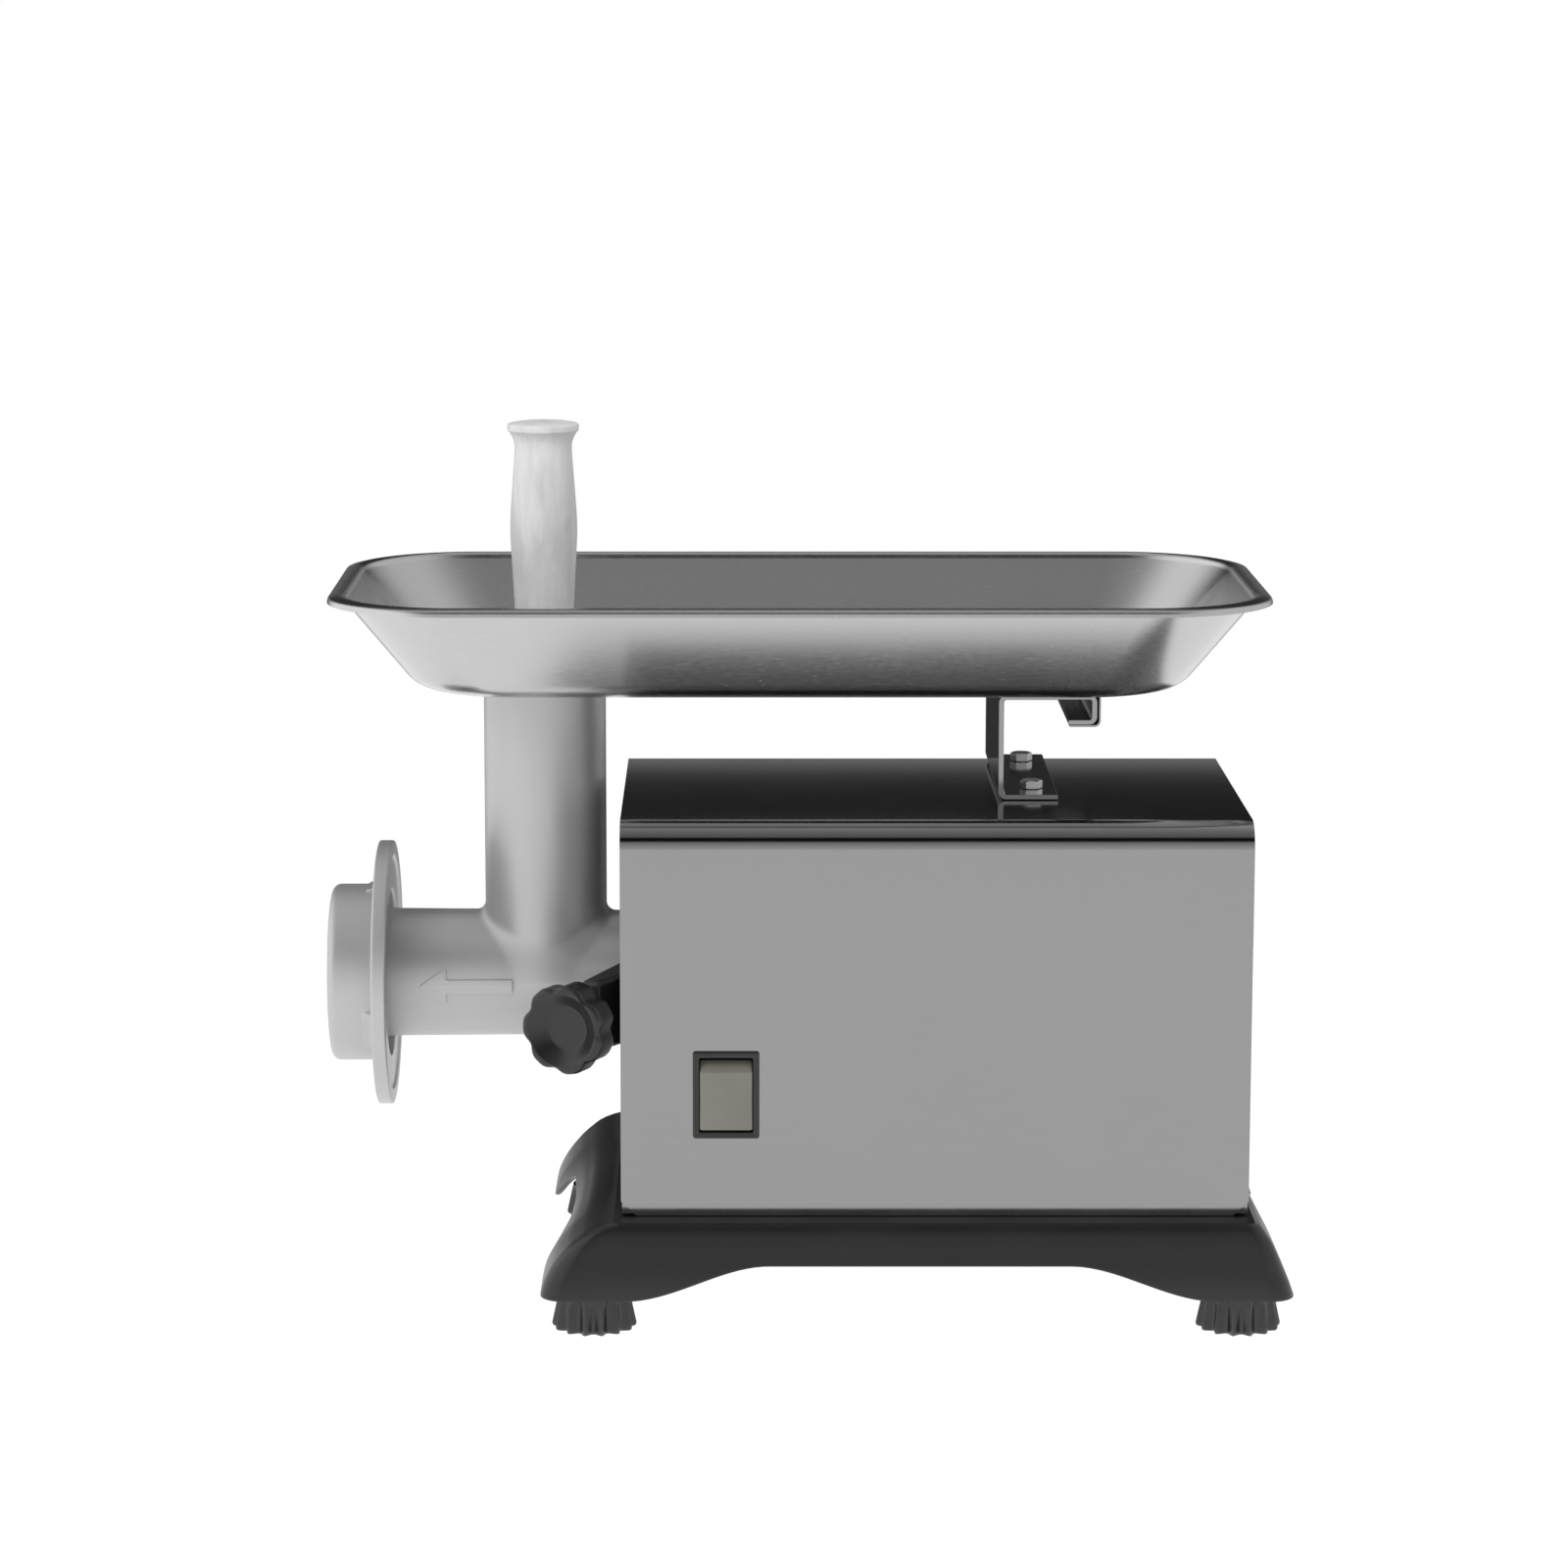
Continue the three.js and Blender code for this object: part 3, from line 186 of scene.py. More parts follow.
def moulded_plastic(name, colour, rough, grain=1600, depth=0.00004, edge_rub_and_highlight=1.6, specular=0.5):
    """Moulded plastic: a fine eroded grain, slow sheen changes and convex edges lightened, partly as rubbed
    wear and partly as a painted highlight along ridges.
    """
    n = Nodes(name, Metallic=0.0, Specular_IOR_Level=specular)
    fine = n.noise(n.place(), grain, 2, 0.5)
    slow = n.noise(n.place(), 22, 3, 0.5)
    dark = tuple(c * 0.9 for c in colour)
    light = tuple(min(1.0, c * 1.1) for c in colour)
    base = n.mixed(n.spread(slow), dark, light)
    # Convex edges are lifted towards this colour: rubbed wear at small factors, a painted highlight on ridges
    # at large ones.
    rubbed_and_lit_edge_colour = tuple(min(1.0, c * edge_rub_and_highlight) for c in colour)
    painted = n.mixed(n.maths("MULTIPLY", n.edges(0.515, 0.58), 0.4), base, rubbed_and_lit_edge_colour)
    roughness = n.band(slow, 0.3, 0.7, rough * 0.9, rough * 1.12)
    return n.finish(painted, roughness, n.bump(fine, 0.25, depth))


def rubber(name, shade):
    """Soft rubber, dusty and rubbed paler along its edges."""
    n = Nodes(name, Metallic=0.0, Roughness=0.7)
    dust = n.noise(n.place(), 90, 5, 0.65)
    fine = n.noise(n.place(), 1400, 2, 0.5)
    base = n.mixed(n.spread(dust, 0.35), grey(shade * 0.8), grey(shade * 1.35))
    colour = n.mixed(n.maths("MULTIPLY", n.edges(0.51, 0.58), 0.5), base, grey(shade * 2.2))
    return n.finish(colour, n.band(dust, 0.3, 0.7, 0.6, 0.8), n.bump(fine, 0.3, 0.00008))


def zinc_plate(name, shade, rough):
    """Bright zinc plating with fine crystals and a slight blue cast."""
    n = Nodes(name, Metallic=1.0)
    crystals = n.node("ShaderNodeTexVoronoi", {"Vector": n.place(), "Scale": 500.0}).outputs["Distance"]
    slow = n.noise(n.place(), 120, 3, 0.5)
    bluish = (shade * 0.9, shade * 0.9, shade * 0.93)
    colour = n.mixed(n.spread(slow), bluish, grey(shade * 1.08))
    roughness = n.band(crystals, 0, 0.7, rough * 0.85, rough * 1.25)
    return n.finish(colour, roughness, n.bump(slow, 0.1, 0.00005))


def turned_steel(name, shade, rough):
    """Lathe-turned or ground steel, with rings about the head's axis."""
    n = Nodes(name, Metallic=1.0)
    place = n.node("ShaderNodeTexCoord").outputs["Object"]
    centre = [c * MM for c in HEAD]
    apart = n.node("ShaderNodeVectorMath", {0: place, 1: centre}, operation="SUBTRACT").outputs[0]
    flat = n.node("ShaderNodeVectorMath", {0: apart, 1: (0, 1, 1)}, operation="MULTIPLY").outputs[0]
    radius = n.node("ShaderNodeVectorMath", {0: flat}, operation="LENGTH").outputs["Value"]
    rings = n.node("ShaderNodeTexNoise", {"W": radius, "Scale": 2500.0, "Detail": 2.0}, noise_dimensions="1D")
    slow = n.noise(n.place(), 60, 4, 0.6)
    both = n.blend(rings.outputs["Fac"], 0.5, slow, 0.5)
    colour = n.mixed(n.spread(both), grey(shade * 0.85), grey(shade * 1.12))
    roughness = n.band(both, 0.3, 0.7, rough * 0.85, rough * 1.2)
    return n.finish(colour, roughness, n.bump(rings.outputs["Fac"], 0.2, 0.00003))


def milky_plastic(name):
    """Turned white plastic, slightly translucent, with faint streaks along the turned handle: partly
    marbling, partly a painted streaked reflection.
    """
    n = Nodes(name, Metallic=0.0, Subsurface_Weight=0.15, Subsurface_Radius=(0.004,) * 3,
              Specular_IOR_Level=0.4)
    streaks_and_reflection = n.noise(n.place((1, 1, 0.12)), 150, 3, 0.6, 0.6)
    clouds = n.noise(n.place((1, 1, 0.5)), 45, 4, 0.6, 1.5)
    both = n.blend(streaks_and_reflection, 0.45, clouds, 0.55)
    # The streaks band the colour lighter and darker: marbling, and a painted reflection streaked down the
    # handle.
    colour = n.mixed(n.spread(both, 0.36, 0.64), grey(0.62), grey(0.78))
    return n.finish(colour, n.band(both, 0.3, 0.7, 0.38, 0.55), n.bump(streaks_and_reflection, 0.15, 0.0002))


MATERIALS = {
    "black_moulding": moulded_plastic("black_moulding", grey(0.007), 0.36, depth=0.00001, specular=0.5),
    # The feet's edge factor of 9 paints bright highlights along the ridges of their folds.
    "foot_rubber": moulded_plastic("foot_rubber", grey(0.012), 0.3, 900, 0.00002, 9, 0.6),
    "stainless_sheet": brushed_steel("stainless_sheet", 0.277, 0.115, 700, (0.12, 1, 1), 0.00001, 0.02),
    "tray_steel": brushed_steel("tray_steel", 0.52, 0.24, 900, (0.25, 1, 1), 0.00002, 0.04),
    "cast_head": cast_metal("cast_head", 0.5, 0.42, 0.6),
    "socket_black": moulded_plastic("socket_black", grey(0.02), 0.38, 900, 0.00012),
    "knob_black": moulded_plastic("knob_black", grey(0.011), 0.27, 1400, 0.00006, 1.8),
    "switch_bezel_plastic": moulded_plastic("switch_bezel_plastic", (0.015, 0.015, 0.014), 0.34),
    "switch_rocker_plastic": moulded_plastic("switch_rocker_plastic", (0.178, 0.176, 0.15), 0.4, 1100,
                                             0.00005, 1.3),
    "pusher_plastic": milky_plastic("pusher_plastic"),
    "zinc_fastener": zinc_plate("zinc_fastener", 0.62, 0.28),
    "machined_steel": turned_steel("machined_steel", 0.5, 0.3),
    "cast_aluminium": cast_metal("cast_aluminium", 0.5, 0.5),
    "lamination_steel": brushed_steel("lamination_steel", 0.22, 0.5, 1800, (6, 0.2, 0.2), 0.0001),
    "nylon": moulded_plastic("nylon", (0.7, 0.69, 0.64), 0.45, 900, 0.00004, 1.1),
    "seal_rubber": rubber("seal_rubber", 0.04),
    "capacitor_can": brushed_steel("capacitor_can", 0.6, 0.35, 900, (0.15, 1, 1)),
}
# The CAD nodes that stay on show get the same finishes.
for row in frame["record"]["subparts"]:
    for slot in frame["nodes"][row["node"]].material_slots:
        slot.material = MATERIALS[row["material_slot"]]


# ---------------------------------------------------------------- outlines
def arc(cx, cy, radius, start, end, steps):
    angles = np.radians(np.linspace(start, end, steps + 1))
    return [(cx + radius * math.cos(a), cy + radius * math.sin(a)) for a in angles]


def rounded(corners, closed=True, steps=6):
    """A path whose corners (a, b, radius) are cut round by arcs of steps pieces."""
    points = []
    count = len(corners)
    for i, (a, b, radius) in enumerate(corners):
        here = Vector((a, b))
        if radius == 0 or (not closed and i in (0, count - 1)):
            points.append((a, b))
            continue
        before, after = Vector(corners[i - 1][:2]), Vector(corners[(i + 1) % count][:2])
        one, two = (before - here).normalized(), (after - here).normalized()
        half = one.angle(two) / 2
        reach = radius / math.tan(half)
        centre = here + (one + two).normalized() * (radius / math.sin(half))
        start, end = here + one * reach - centre, here + two * reach - centre
        turn = math.atan2(start.x * end.y - start.y * end.x, start.dot(end))
        for k in range(steps + 1):
            angle = turn * k / steps
            c, s = math.cos(angle), math.sin(angle)
            points.append((centre.x + start.x * c - start.y * s, centre.y + start.x * s + start.y * c))
    return points


def offset_path(path, shift):
    """The path moved sideways, to its left."""
    out = []
    last = len(path) - 1
    for i, p in enumerate(path):
        here = Vector(p)
        before = (Vector(path[max(i, 1)]) - Vector(path[max(i - 1, 0)])).normalized()
        after = (Vector(path[min(i + 1, last)]) - Vector(path[min(i, last - 1)])).normalized()
        normal = Vector((-(before.y + after.y), before.x + after.x))
        out.append(tuple(here + normal * (2 * shift / normal.length_squared)))
    return out


def strip(path, thickness):
    return offset_path(path, thickness / 2) + offset_path(path, -thickness / 2)[::-1]


def rounded_rectangle(x0, x1, y0, y1, radius, steps=8):
    points = []
    for cx, cy, start in ((x1 - radius, y0 + radius, -90), (x1 - radius, y1 - radius, 0),
                          (x0 + radius, y1 - radius, 90), (x0 + radius, y0 + radius, 180)):
        points += arc(cx, cy, radius, start, start + 90, steps)
    return points


# ---------------------------------------------------------------- meshes
AXES = {"x": lambda a, b, h: (h, a, b), "y": lambda a, b, h: (a, h, b), "z": lambda a, b, h: (a, b, h)}
SHARP = 38  # degrees between two faces, from which the edge they share is sharp


def grid_faces(rows, count, closed_rows=False):
    """The quads between rows of points that each close on themselves."""
    last = rows if closed_rows else rows - 1
    return [(i * count + j, i * count + (j + 1) % count,
             (i + 1) % rows * count + (j + 1) % count, (i + 1) % rows * count + j)
            for i in range(last) for j in range(count)]


def lathe(profile, along, origin=(0, 0, 0), segments=96, wave=None):
    """A profile of (radius, height) turned about an axis: capped if it starts there, else a closed ring."""
    capped = profile[0][0] == 0
    rings = profile[1:-1] if capped else profile
    verts, place = [], AXES[along]
    for radius, height in rings:
        for k in range(segments):
            a = 2 * math.pi * k / segments
            r = radius + (wave(a, radius, height) if wave else 0)
            verts.append(place(r * math.cos(a), r * math.sin(a), height))
    faces = grid_faces(len(rings), segments, not capped)
    if capped:
        first = len(verts)
        verts += [place(0, 0, profile[0][1]), place(0, 0, profile[-1][1])]
        base = (len(rings) - 1) * segments
        faces += [(first, (k + 1) % segments, k) for k in range(segments)]
        faces += [(first + 1, base + k, base + (k + 1) % segments) for k in range(segments)]
    return [tuple(np.add(v, origin)) for v in verts], faces


def loft(rings):
    """A skin through rings of points, with a flat face at each end."""
    count = len(rings[0])
    faces = grid_faces(len(rings), count)
    faces += [tuple(reversed(range(count))), tuple(range((len(rings) - 1) * count, len(rings) * count))]
    return [p for ring in rings for p in ring], faces


def prism(outline, start, end, along):
    """A flat outline drawn out along an axis."""
    place = AXES[along]
    return loft([[place(a, b, h) for a, b in outline] for h in (start, end)])


def joined(*shapes):
    """Shapes put together as one, each still its own closed skin."""
    verts, faces = [], []
    for some_verts, some_faces in shapes:
        base = len(verts)
        verts += some_verts
        faces += [tuple(base + i for i in face) for face in some_faces]
    return verts, faces


def at_clamp(shape):
    """Moves a shape whose local X is the clamp screw's axis, running inwards from the knob's face."""
    turn = Matrix.Translation(KNOB_AT) @ Matrix.Rotation(math.pi / 2 - KNOB_ANGLE, 4, "Z")
    return [tuple(turn @ Vector(v)) for v in shape[0]], shape[1]


@contextmanager
def edited(mesh):
    """A mesh opened for changes, then written back with its faces outwards."""
    work = bmesh.new()
    work.from_mesh(mesh)
    yield work
    bmesh.ops.recalc_face_normals(work, faces=work.faces)
    work.to_mesh(mesh)
    work.free()


def new_object(name, shape):
    """An object made of a shape's points, in millimetres, and faces."""
    mesh = bpy.data.meshes.new(name)
    mesh.from_pydata([tuple(c * MM for c in v) for v in shape[0]], [], shape[1])
    obj = bpy.data.objects.new(name, mesh)
    bpy.context.collection.objects.link(obj)
    with edited(mesh):
        pass
    return obj


def carve(obj, *cutters, operation="DIFFERENCE"):
    """Cuts shapes out of an object, or joins them to it, for good."""
    for k, shape in enumerate(cutters):
        tool = new_object(f"tool{k}", shape)
        modifier = obj.modifiers.new("cut", "BOOLEAN")
        modifier.operation = operation
        modifier.solver = "EXACT"
        modifier.object = tool
        bpy.context.view_layer.update()
        mesh = bpy.data.meshes.new_from_object(obj.evaluated_get(bpy.context.evaluated_depsgraph_get()))
        obj.modifiers.clear()
        obj.data = mesh
        bpy.data.objects.remove(tool)
    return obj


def piece(obj, body, slot, *replaced, smooth=SHARP, bevel=0.0):
    """Gives an object its finish, its edges and its place in the frame."""
    mesh = obj.data
    mesh.materials.clear()
    mesh.materials.append(MATERIALS[slot])
    mesh.polygons.foreach_set("use_smooth", [True] * len(mesh.polygons))
    mesh.set_sharp_from_angle(angle=math.radians(smooth))
    if bevel:
        edge = obj.modifiers.new("edge", "BEVEL")
        edge.width = bevel * MM
        edge.segments = 2
        edge.limit_method = "ANGLE"
        edge.angle_limit = math.radians(SHARP)
        edge.harden_normals = True
    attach(obj, body)
    if replaced:
        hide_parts(*replaced)
    return obj


# ---------------------------------------------------------------- castings and mouldings as distance fields
def polygon_distance(polygon, a, b):
    """The signed distance from points (a, b) to a closed outline, less than nought inside."""
    best = np.full(a.shape, 1e12)
    inside = np.zeros(a.shape, bool)
    for (x0, y0), (x1, y1) in zip(polygon, polygon[1:] + polygon[:1]):
        ex, ey = x1 - x0, y1 - y0
        wx, wy = a - x0, b - y0
        t = np.clip((wx * ex + wy * ey) / (ex * ex + ey * ey), 0, 1)
        best = np.minimum(best, (wx - ex * t) ** 2 + (wy - ey * t) ** 2)
        if y0 != y1:
            inside ^= ((y0 <= b) != (y1 <= b)) & (wx < (b - y0) * ex / ey)
    return np.where(inside, -1, 1) * np.sqrt(best)


def slab(value, low, high):
    """The signed distance to the space between two planes."""
    return np.abs(value - (low + high) / 2) - (high - low) / 2


def round_union(a, b, r):
    """Two fields joined with a fillet of radius r."""
    return np.maximum(r, np.minimum(a, b)) - np.hypot(np.maximum(r - a, 0), np.maximum(r - b, 0))


def round_common(a, b, r):
    """What two fields share, its edge rounded by r."""
    return np.minimum(-r, np.maximum(a, b)) + np.hypot(np.maximum(r + a, 0), np.maximum(r + b, 0))


def round_cut(a, b, r):
    """Field b cut out of field a, the edge rounded by r."""
    return round_common(a, -b, r)


def implicit(name, field, low, high, step):
    """A closed mesh of where a field of (x, y, z) is nought, its points moved exactly on to it."""
    axes = [np.arange(lo, hi + step, step) for lo, hi in zip(low, high)]
    x, y, z = np.meshgrid(*axes, indexing="ij")
    reach = 5.0 * step
    grid = openvdb.FloatGrid(reach)
    grid.copyFromArray(np.clip(field(x, y, z), -reach, reach).astype(np.float32))
    points, quads = grid.convertToQuads()
    points = points.astype(float) * step + np.array(low, float)
    small = step * 0.05
    for _ in range(4):
        value = field(*points.T)
        slope = np.stack([(field(*(points + d).T) - field(*(points - d).T)) / (2 * small)
                          for d in np.eye(3) * small], 1)
        size = np.maximum((slope**2).sum(1), 0.25)
        points -= np.clip(value / size, -step, step)[:, None] * slope
    return new_object(name, ([tuple(p) for p in points], [tuple(int(i) for i in q) for q in quads]))


# ---------------------------------------------------------------- base and feet
# The height of each level and where the left, right, front and back faces stand at it.
FLARE = [(17.5, -127, 236, -135, 117), (24, -125.3, 233.8, -134.6, 116.6), (31, -121.8, 231, -133.4, 115.4),
         (38, -116.6, 228, -131.8, 113.8), (45, -109.6, 224.4, -130.2, 112.2),
         (51, -100.6, 220, -128.4, 110.4), (54, -92, 217, -127, 109)]
LEG_BOTTOM, BASE_TOP = FLARE[0][0], FLARE[-1][0]
BASE_CORNER = 12.0
WAIST = 75  # how far either side of its middle an end wall is drawn in
# Where an arch leaves one leg, its crown starts and ends, it meets the other leg, and the crown's height.
LONG_ARCH = (-86, -17, 128, 198, 34.3)
END_ARCH = (-90, -50, 32, 72, 36)


def flare_faces(z):
    """Where the left, right, front and back faces stand at a height, smoothed between the levels."""
    levels = np.array([row[0] for row in FLARE], float)
    out = []
    for k in range(1, 5):
        values = np.array([row[k] for row in FLARE], float)
        slopes = np.gradient(values, levels)
        i = int(np.clip(np.searchsorted(levels, z) - 1, 0, len(levels) - 2))
        h = levels[i + 1] - levels[i]
        t = float(np.clip((z - levels[i]) / h, 0, 1))
        out.append(values[i] * (2 * t**3 - 3 * t**2 + 1) + slopes[i] * h * (t**3 - 2 * t**2 + t)
                   + values[i + 1] * (3 * t**2 - 2 * t**3) + slopes[i + 1] * h * (t**3 - t**2))
    return out


def arch_height(value, left, crown_left, crown_right, right, top):
    """The height of the skirt's lower edge along a side, between two legs."""
    if value <= left or value >= right:
        return LEG_BOTTOM
    t = min((value - left) / (crown_left - left), (right - value) / (right - crown_right), 1.0)
    return LEG_BOTTOM + (top - LEG_BOTTOM) * (t * t * (3 - 2 * t))


def base_station(side, along, z, inset):
    """The X and Y of a point on the skirt: on a side, a share of the way along it, at a height."""
    x0, x1, y0, y1 = flare_faces(z)
    x0, x1, y0, y1 = x0 + inset, x1 - inset, y0 + inset, y1 - inset
    sharper = 7 * min(max((z - 31) / (BASE_TOP - 31), 0), 1)
    r = max(BASE_CORNER - sharper - inset, 2.5)
    if side in ("front", "back"):
        return x0 + r + along * (x1 - x0 - 2 * r), (y0 if side == "front" else y1)
    if side in ("left", "right"):
        y = y0 + r + along * (y1 - y0 - 2 * r)
        middle = (y0 + y1) / 2
        waist = math.cos((y - middle) / WAIST * math.pi / 2) if abs(y - middle) < WAIST else 0.0
        drawn = 0.25 * (BASE_TOP - z) * waist
        return (x0 + drawn if side == "left" else x1 - drawn / 2), y
    cx = x0 + r if "left" in side else x1 - r
    cy = y0 + r if "front" in side else y1 - r
    start = {"front_right": -90, "back_right": 0, "back_left": 90, "front_left": 180}[side]
    a = math.radians(start + 90 * along)
    return cx + r * math.cos(a), cy + r * math.sin(a)


def base_stations():
    """The places of one ring round the skirt, as (side, share of the way along it)."""
    ends = [("front", 0, 1, 84), ("front_right", 0, 1, 10), ("right", 0, 1, 60), ("back_right", 0, 1, 10),
            ("back", 1, 0, 84), ("back_left", 0, 1, 10), ("left", 1, 0, 60), ("front_left", 0, 1, 10)]
    return [(side, a + (b - a) * i / n) for side, a, b, n in ends for i in range(n)]


def lower_edge(side, along):
    """The height of the skirt's lower edge at a station."""
    z = LEG_BOTTOM
    for _ in range(4):
        x, y = base_station(side, along, z, 0)
        if side in ("front", "back"):
            z = arch_height(x, *LONG_ARCH)
        elif side in ("left", "right"):
            z = arch_height(y, *END_ARCH)
    return z


def make_base():
    """One skin: out over the deck, down the outside, round the lower edge and up to the deck's underside."""
    stations = [(side, along, lower_edge(side, along)) for side, along in base_stations()]
    wall, deck = 3.0, 50.0

    def row(inset, lift, level=0.0, top=BASE_TOP):
        """A ring lifted off the lower edge, then raised by a share of the way that is left to a top."""
        ring = []
        for side, along, low in stations:
            z = low + lift + level * (top - low - lift)
            ring.append((*base_station(side, along, z, inset), z))
        return ring

    rows = [[(*base_station(side, along, BASE_TOP, inset), BASE_TOP - drop) for side, along, _ in stations]
            for inset, drop in ((3, 0), (0.8, 0), (0.3, 0.1), (0.08, 0.4))]
    rows += [row(0, 0, level) for level in np.linspace(0.95, 0.06, 22)]
    rows += [row(inset, lift) for inset, lift in ((0, 0.9), (0.25, 0.3), (0.9, 0), (wall - 0.9, 0),
                                                  (wall - 0.25, 0.3), (wall, 0.9))]
    rows += [row(wall, 0.9, level, deck) for level in np.linspace(0.1, 1.0, 9)]
    return new_object("base_moulding", loft(rows))


piece(make_base(), "frame", "black_moulding", "base", smooth=50)
BOSS = rounded([(0, 17.6, 0), (9.4, 17.6, 0.8), (10, 38, 0), (0, 38, 0)])
bosses = joined(*[lathe(BOSS, "z", (x, y, 0), 48) for x, y in FEET.values()])
piece(new_object("base_bosses", bosses), "frame", "black_moulding")


FOOT_TOP = 17.2
FOLDS = 14


def foot_wave(angle, radius, height):
    """Folded ridges, standing out further towards the floor and only on the foot's side."""
    if radius < 14 or height > 16.5:
        return 0.0
    depth = 1.5 + 2.2 * (1 - height / FOOT_TOP)
    groove = 1 - abs(2 * ((FOLDS * angle / (2 * math.pi)) % 1) - 1)
    return -depth * min(groove * 1.35, 1.0) * min(1.0, (FOOT_TOP - height) / 2)


FOOT = ([(3.4, 6), (7, 6), (7, 0.4), (7.4, 0), (18.2, 0), (19.4, 0.25), (20.2, 1.0), (20.4, 2.2)]
        + [(20.4 - 3.0 * t, 2.2 + 14.0 * t) for t in np.linspace(0.1, 1, 9)]
        + [(17.2, 16.9), (16.6, FOOT_TOP), (3.4, FOOT_TOP)])
for place, (x, y) in FEET.items():
    foot = new_object(f"rubber_foot_{place}", lathe(FOOT, "z", (x, y, 0), 240, foot_wave))
    piece(foot, "frame", "foot_rubber", f"foot_{place}", smooth=24)


# ---------------------------------------------------------------- housing
def housing_path(inset, bottom):
    """The housing's outline seen from its ends, open at the bottom, drawn inwards by an inset."""
    y0, y1, z1, bend = (HOUSING[k] for k in ("y0", "y1", "z1", "bend"))
    r = bend - inset
    return ([(y0 + inset, bottom)] + arc(y0 + bend, z1 - bend, r, 180, 90, 14)
            + arc(y1 - bend, z1 - bend, r, 90, 0, 14) + [(y1 - inset, bottom)])


def box_shape(x0, x1, y0, y1, z0, z1):
    return prism([(x0, y0), (x1, y0), (x1, y1), (x0, y1)], z0, z1, "z")


def make_housing():
    """The bent sheet, its lower corners clipped and a hole cut for the switch."""
    x0, x1, y0, z0, sheet = (HOUSING[k] for k in ("x0", "x1", "y0", "z0", "sheet"))
    shell = new_object("housing_sheet", prism(strip(housing_path(sheet / 2, z0), sheet), x0, x1, "x"))
    clips = [rounded([(x - 2 * way, z0 - 2, 0), (x + 9 * way, z0 - 2, 0), (x + 7.5 * way, z0, 3),
                      (x, z0 + 7, 3), (x - 2 * way, z0 + 10, 0)]) for x, way in ((x0, 1), (x1, -1))]
    corner_clips = [prism(clip, y0 - 5, y0 + 5, "y") for clip in clips]
    hole = box_shape(SWITCH["x0"] + 2, SWITCH["x1"] - 2, y0 - 5, y0 + 5, SWITCH["z0"] + 2, SWITCH["z1"] - 2)
    return carve(shell, *corner_clips, hole)


piece(make_housing(), "frame", "stainless_sheet", "housing_shell", bevel=0.22)


def make_end_panel(name, x, way, *cutters):
    """A flanged panel that closes the housing at x; way is the sign of X towards the inside."""
    inset = HOUSING["sheet"] + 0.3
    face = x + way * 0.5
    plate = prism(housing_path(inset, 55), *sorted((face, face + way)), "x")
    flange = prism(strip(housing_path(inset + 0.5, 55), 1.0),
                   *sorted((face + way * 0.5, face + way * 12)), "x")
    panel = new_object(name, plate)
    carve(panel, flange, operation="UNION")
    return carve(panel, *cutters)


hole = lathe([(0, -95), (32, -95), (32, -80), (0, -80)], "x", (0, HEAD[1], HEAD[2]), 96)
slot = prism(rounded([(-86, 131, 3), (-10, 131, 3), (-10, 166.5, 3), (-86, 166.5, 3)]), -95, -80, "x")
left_panel = make_end_panel("left_panel", HOUSING["x0"], 1, hole, slot)
piece(left_panel, "frame", "stainless_sheet", "left_end_panel", bevel=0.2)
vents = []
for k in range(9):
    middle = -9 + (k - 4) * 13
    y0, y1 = middle - 2.5, middle + 2.5
    outline = rounded([(y0, 120, 2.4), (y1, 120, 2.4), (y1, 166, 2.4), (y0, 166, 2.4)])
    vents.append(prism(outline, 205, 220, "x"))
right_panel = make_end_panel("right_panel", HOUSING["x1"], -1, *vents)
piece(right_panel, "frame", "stainless_sheet", "right_end_panel", bevel=0.2)


def screw_field(x, y, z):
    """A pan head with a cross recess, its axis along Y at the origin and its seat at Y = 0.2."""
    r = np.hypot(x, z)
    dome = np.sqrt(r**2 + (y + 3.9) ** 2) - 6.2
    head = round_common(round_common(dome, r - 3.9, 0.3), 0.2 - y, 0.1)
    x, z = np.abs(x), np.abs(z)
    cross = np.minimum(np.maximum(x - 0.45, z - 1.9), np.maximum(z - 0.45, x - 1.9))
    recess = np.maximum(cross, 1.0 - y)
    shank = np.maximum(r - 1.9, slab(y, -9, 1))
    return np.minimum(round_cut(head, recess, 0.08), shank)


for k, (x, z) in enumerate(PANEL_SCREWS, 1):
    screw = implicit(f"panel_screw_head_{k}", screw_field, (-4.4, -9.6, -4.4), (4.4, 3.0, 4.4), 0.2)
    for v in screw.data.vertices:
        v.co += Vector((x, HOUSING["y1"], z)) * MM
    piece(screw, "frame", "zinc_fastener", f"panel_screw_{k}", smooth=45)


# ---------------------------------------------------------------- head: barrel, ring nut, plate
BARREL_OUTSIDE = rounded([(0, -229, 0), (41, -229, 1), (41, -210.4, 1), (32.3, -209.2, 1.2), (31.2, -84, 1.2),
                          (25, -84, 0.8), (25, -53.5, 0.8), (0, -53.5, 0)])
BARREL_INSIDE = rounded([(0, -240, 0), (35.2, -240, 0), (35.2, -223, 0.4), (30, -223, 1), (30, -213, 1),
                         (26, -213, 1), (26, -98.2, 1), (11.4, -98.2, 0.6), (11.4, -90, 0.6),
                         (20.3, -90, 0.8), (20.3, -40, 0), (0, -40, 0)])
THROAT_INSIDE = rounded([(0, 60, 0), (22.4, 60, 0), (22.4, 181.5, 0.6), (25.5, 181.5, 0.5), (25.5, 286, 1.2),
                         (27.8, 288, 1), (27.8, 310, 0), (0, 310, 0)])


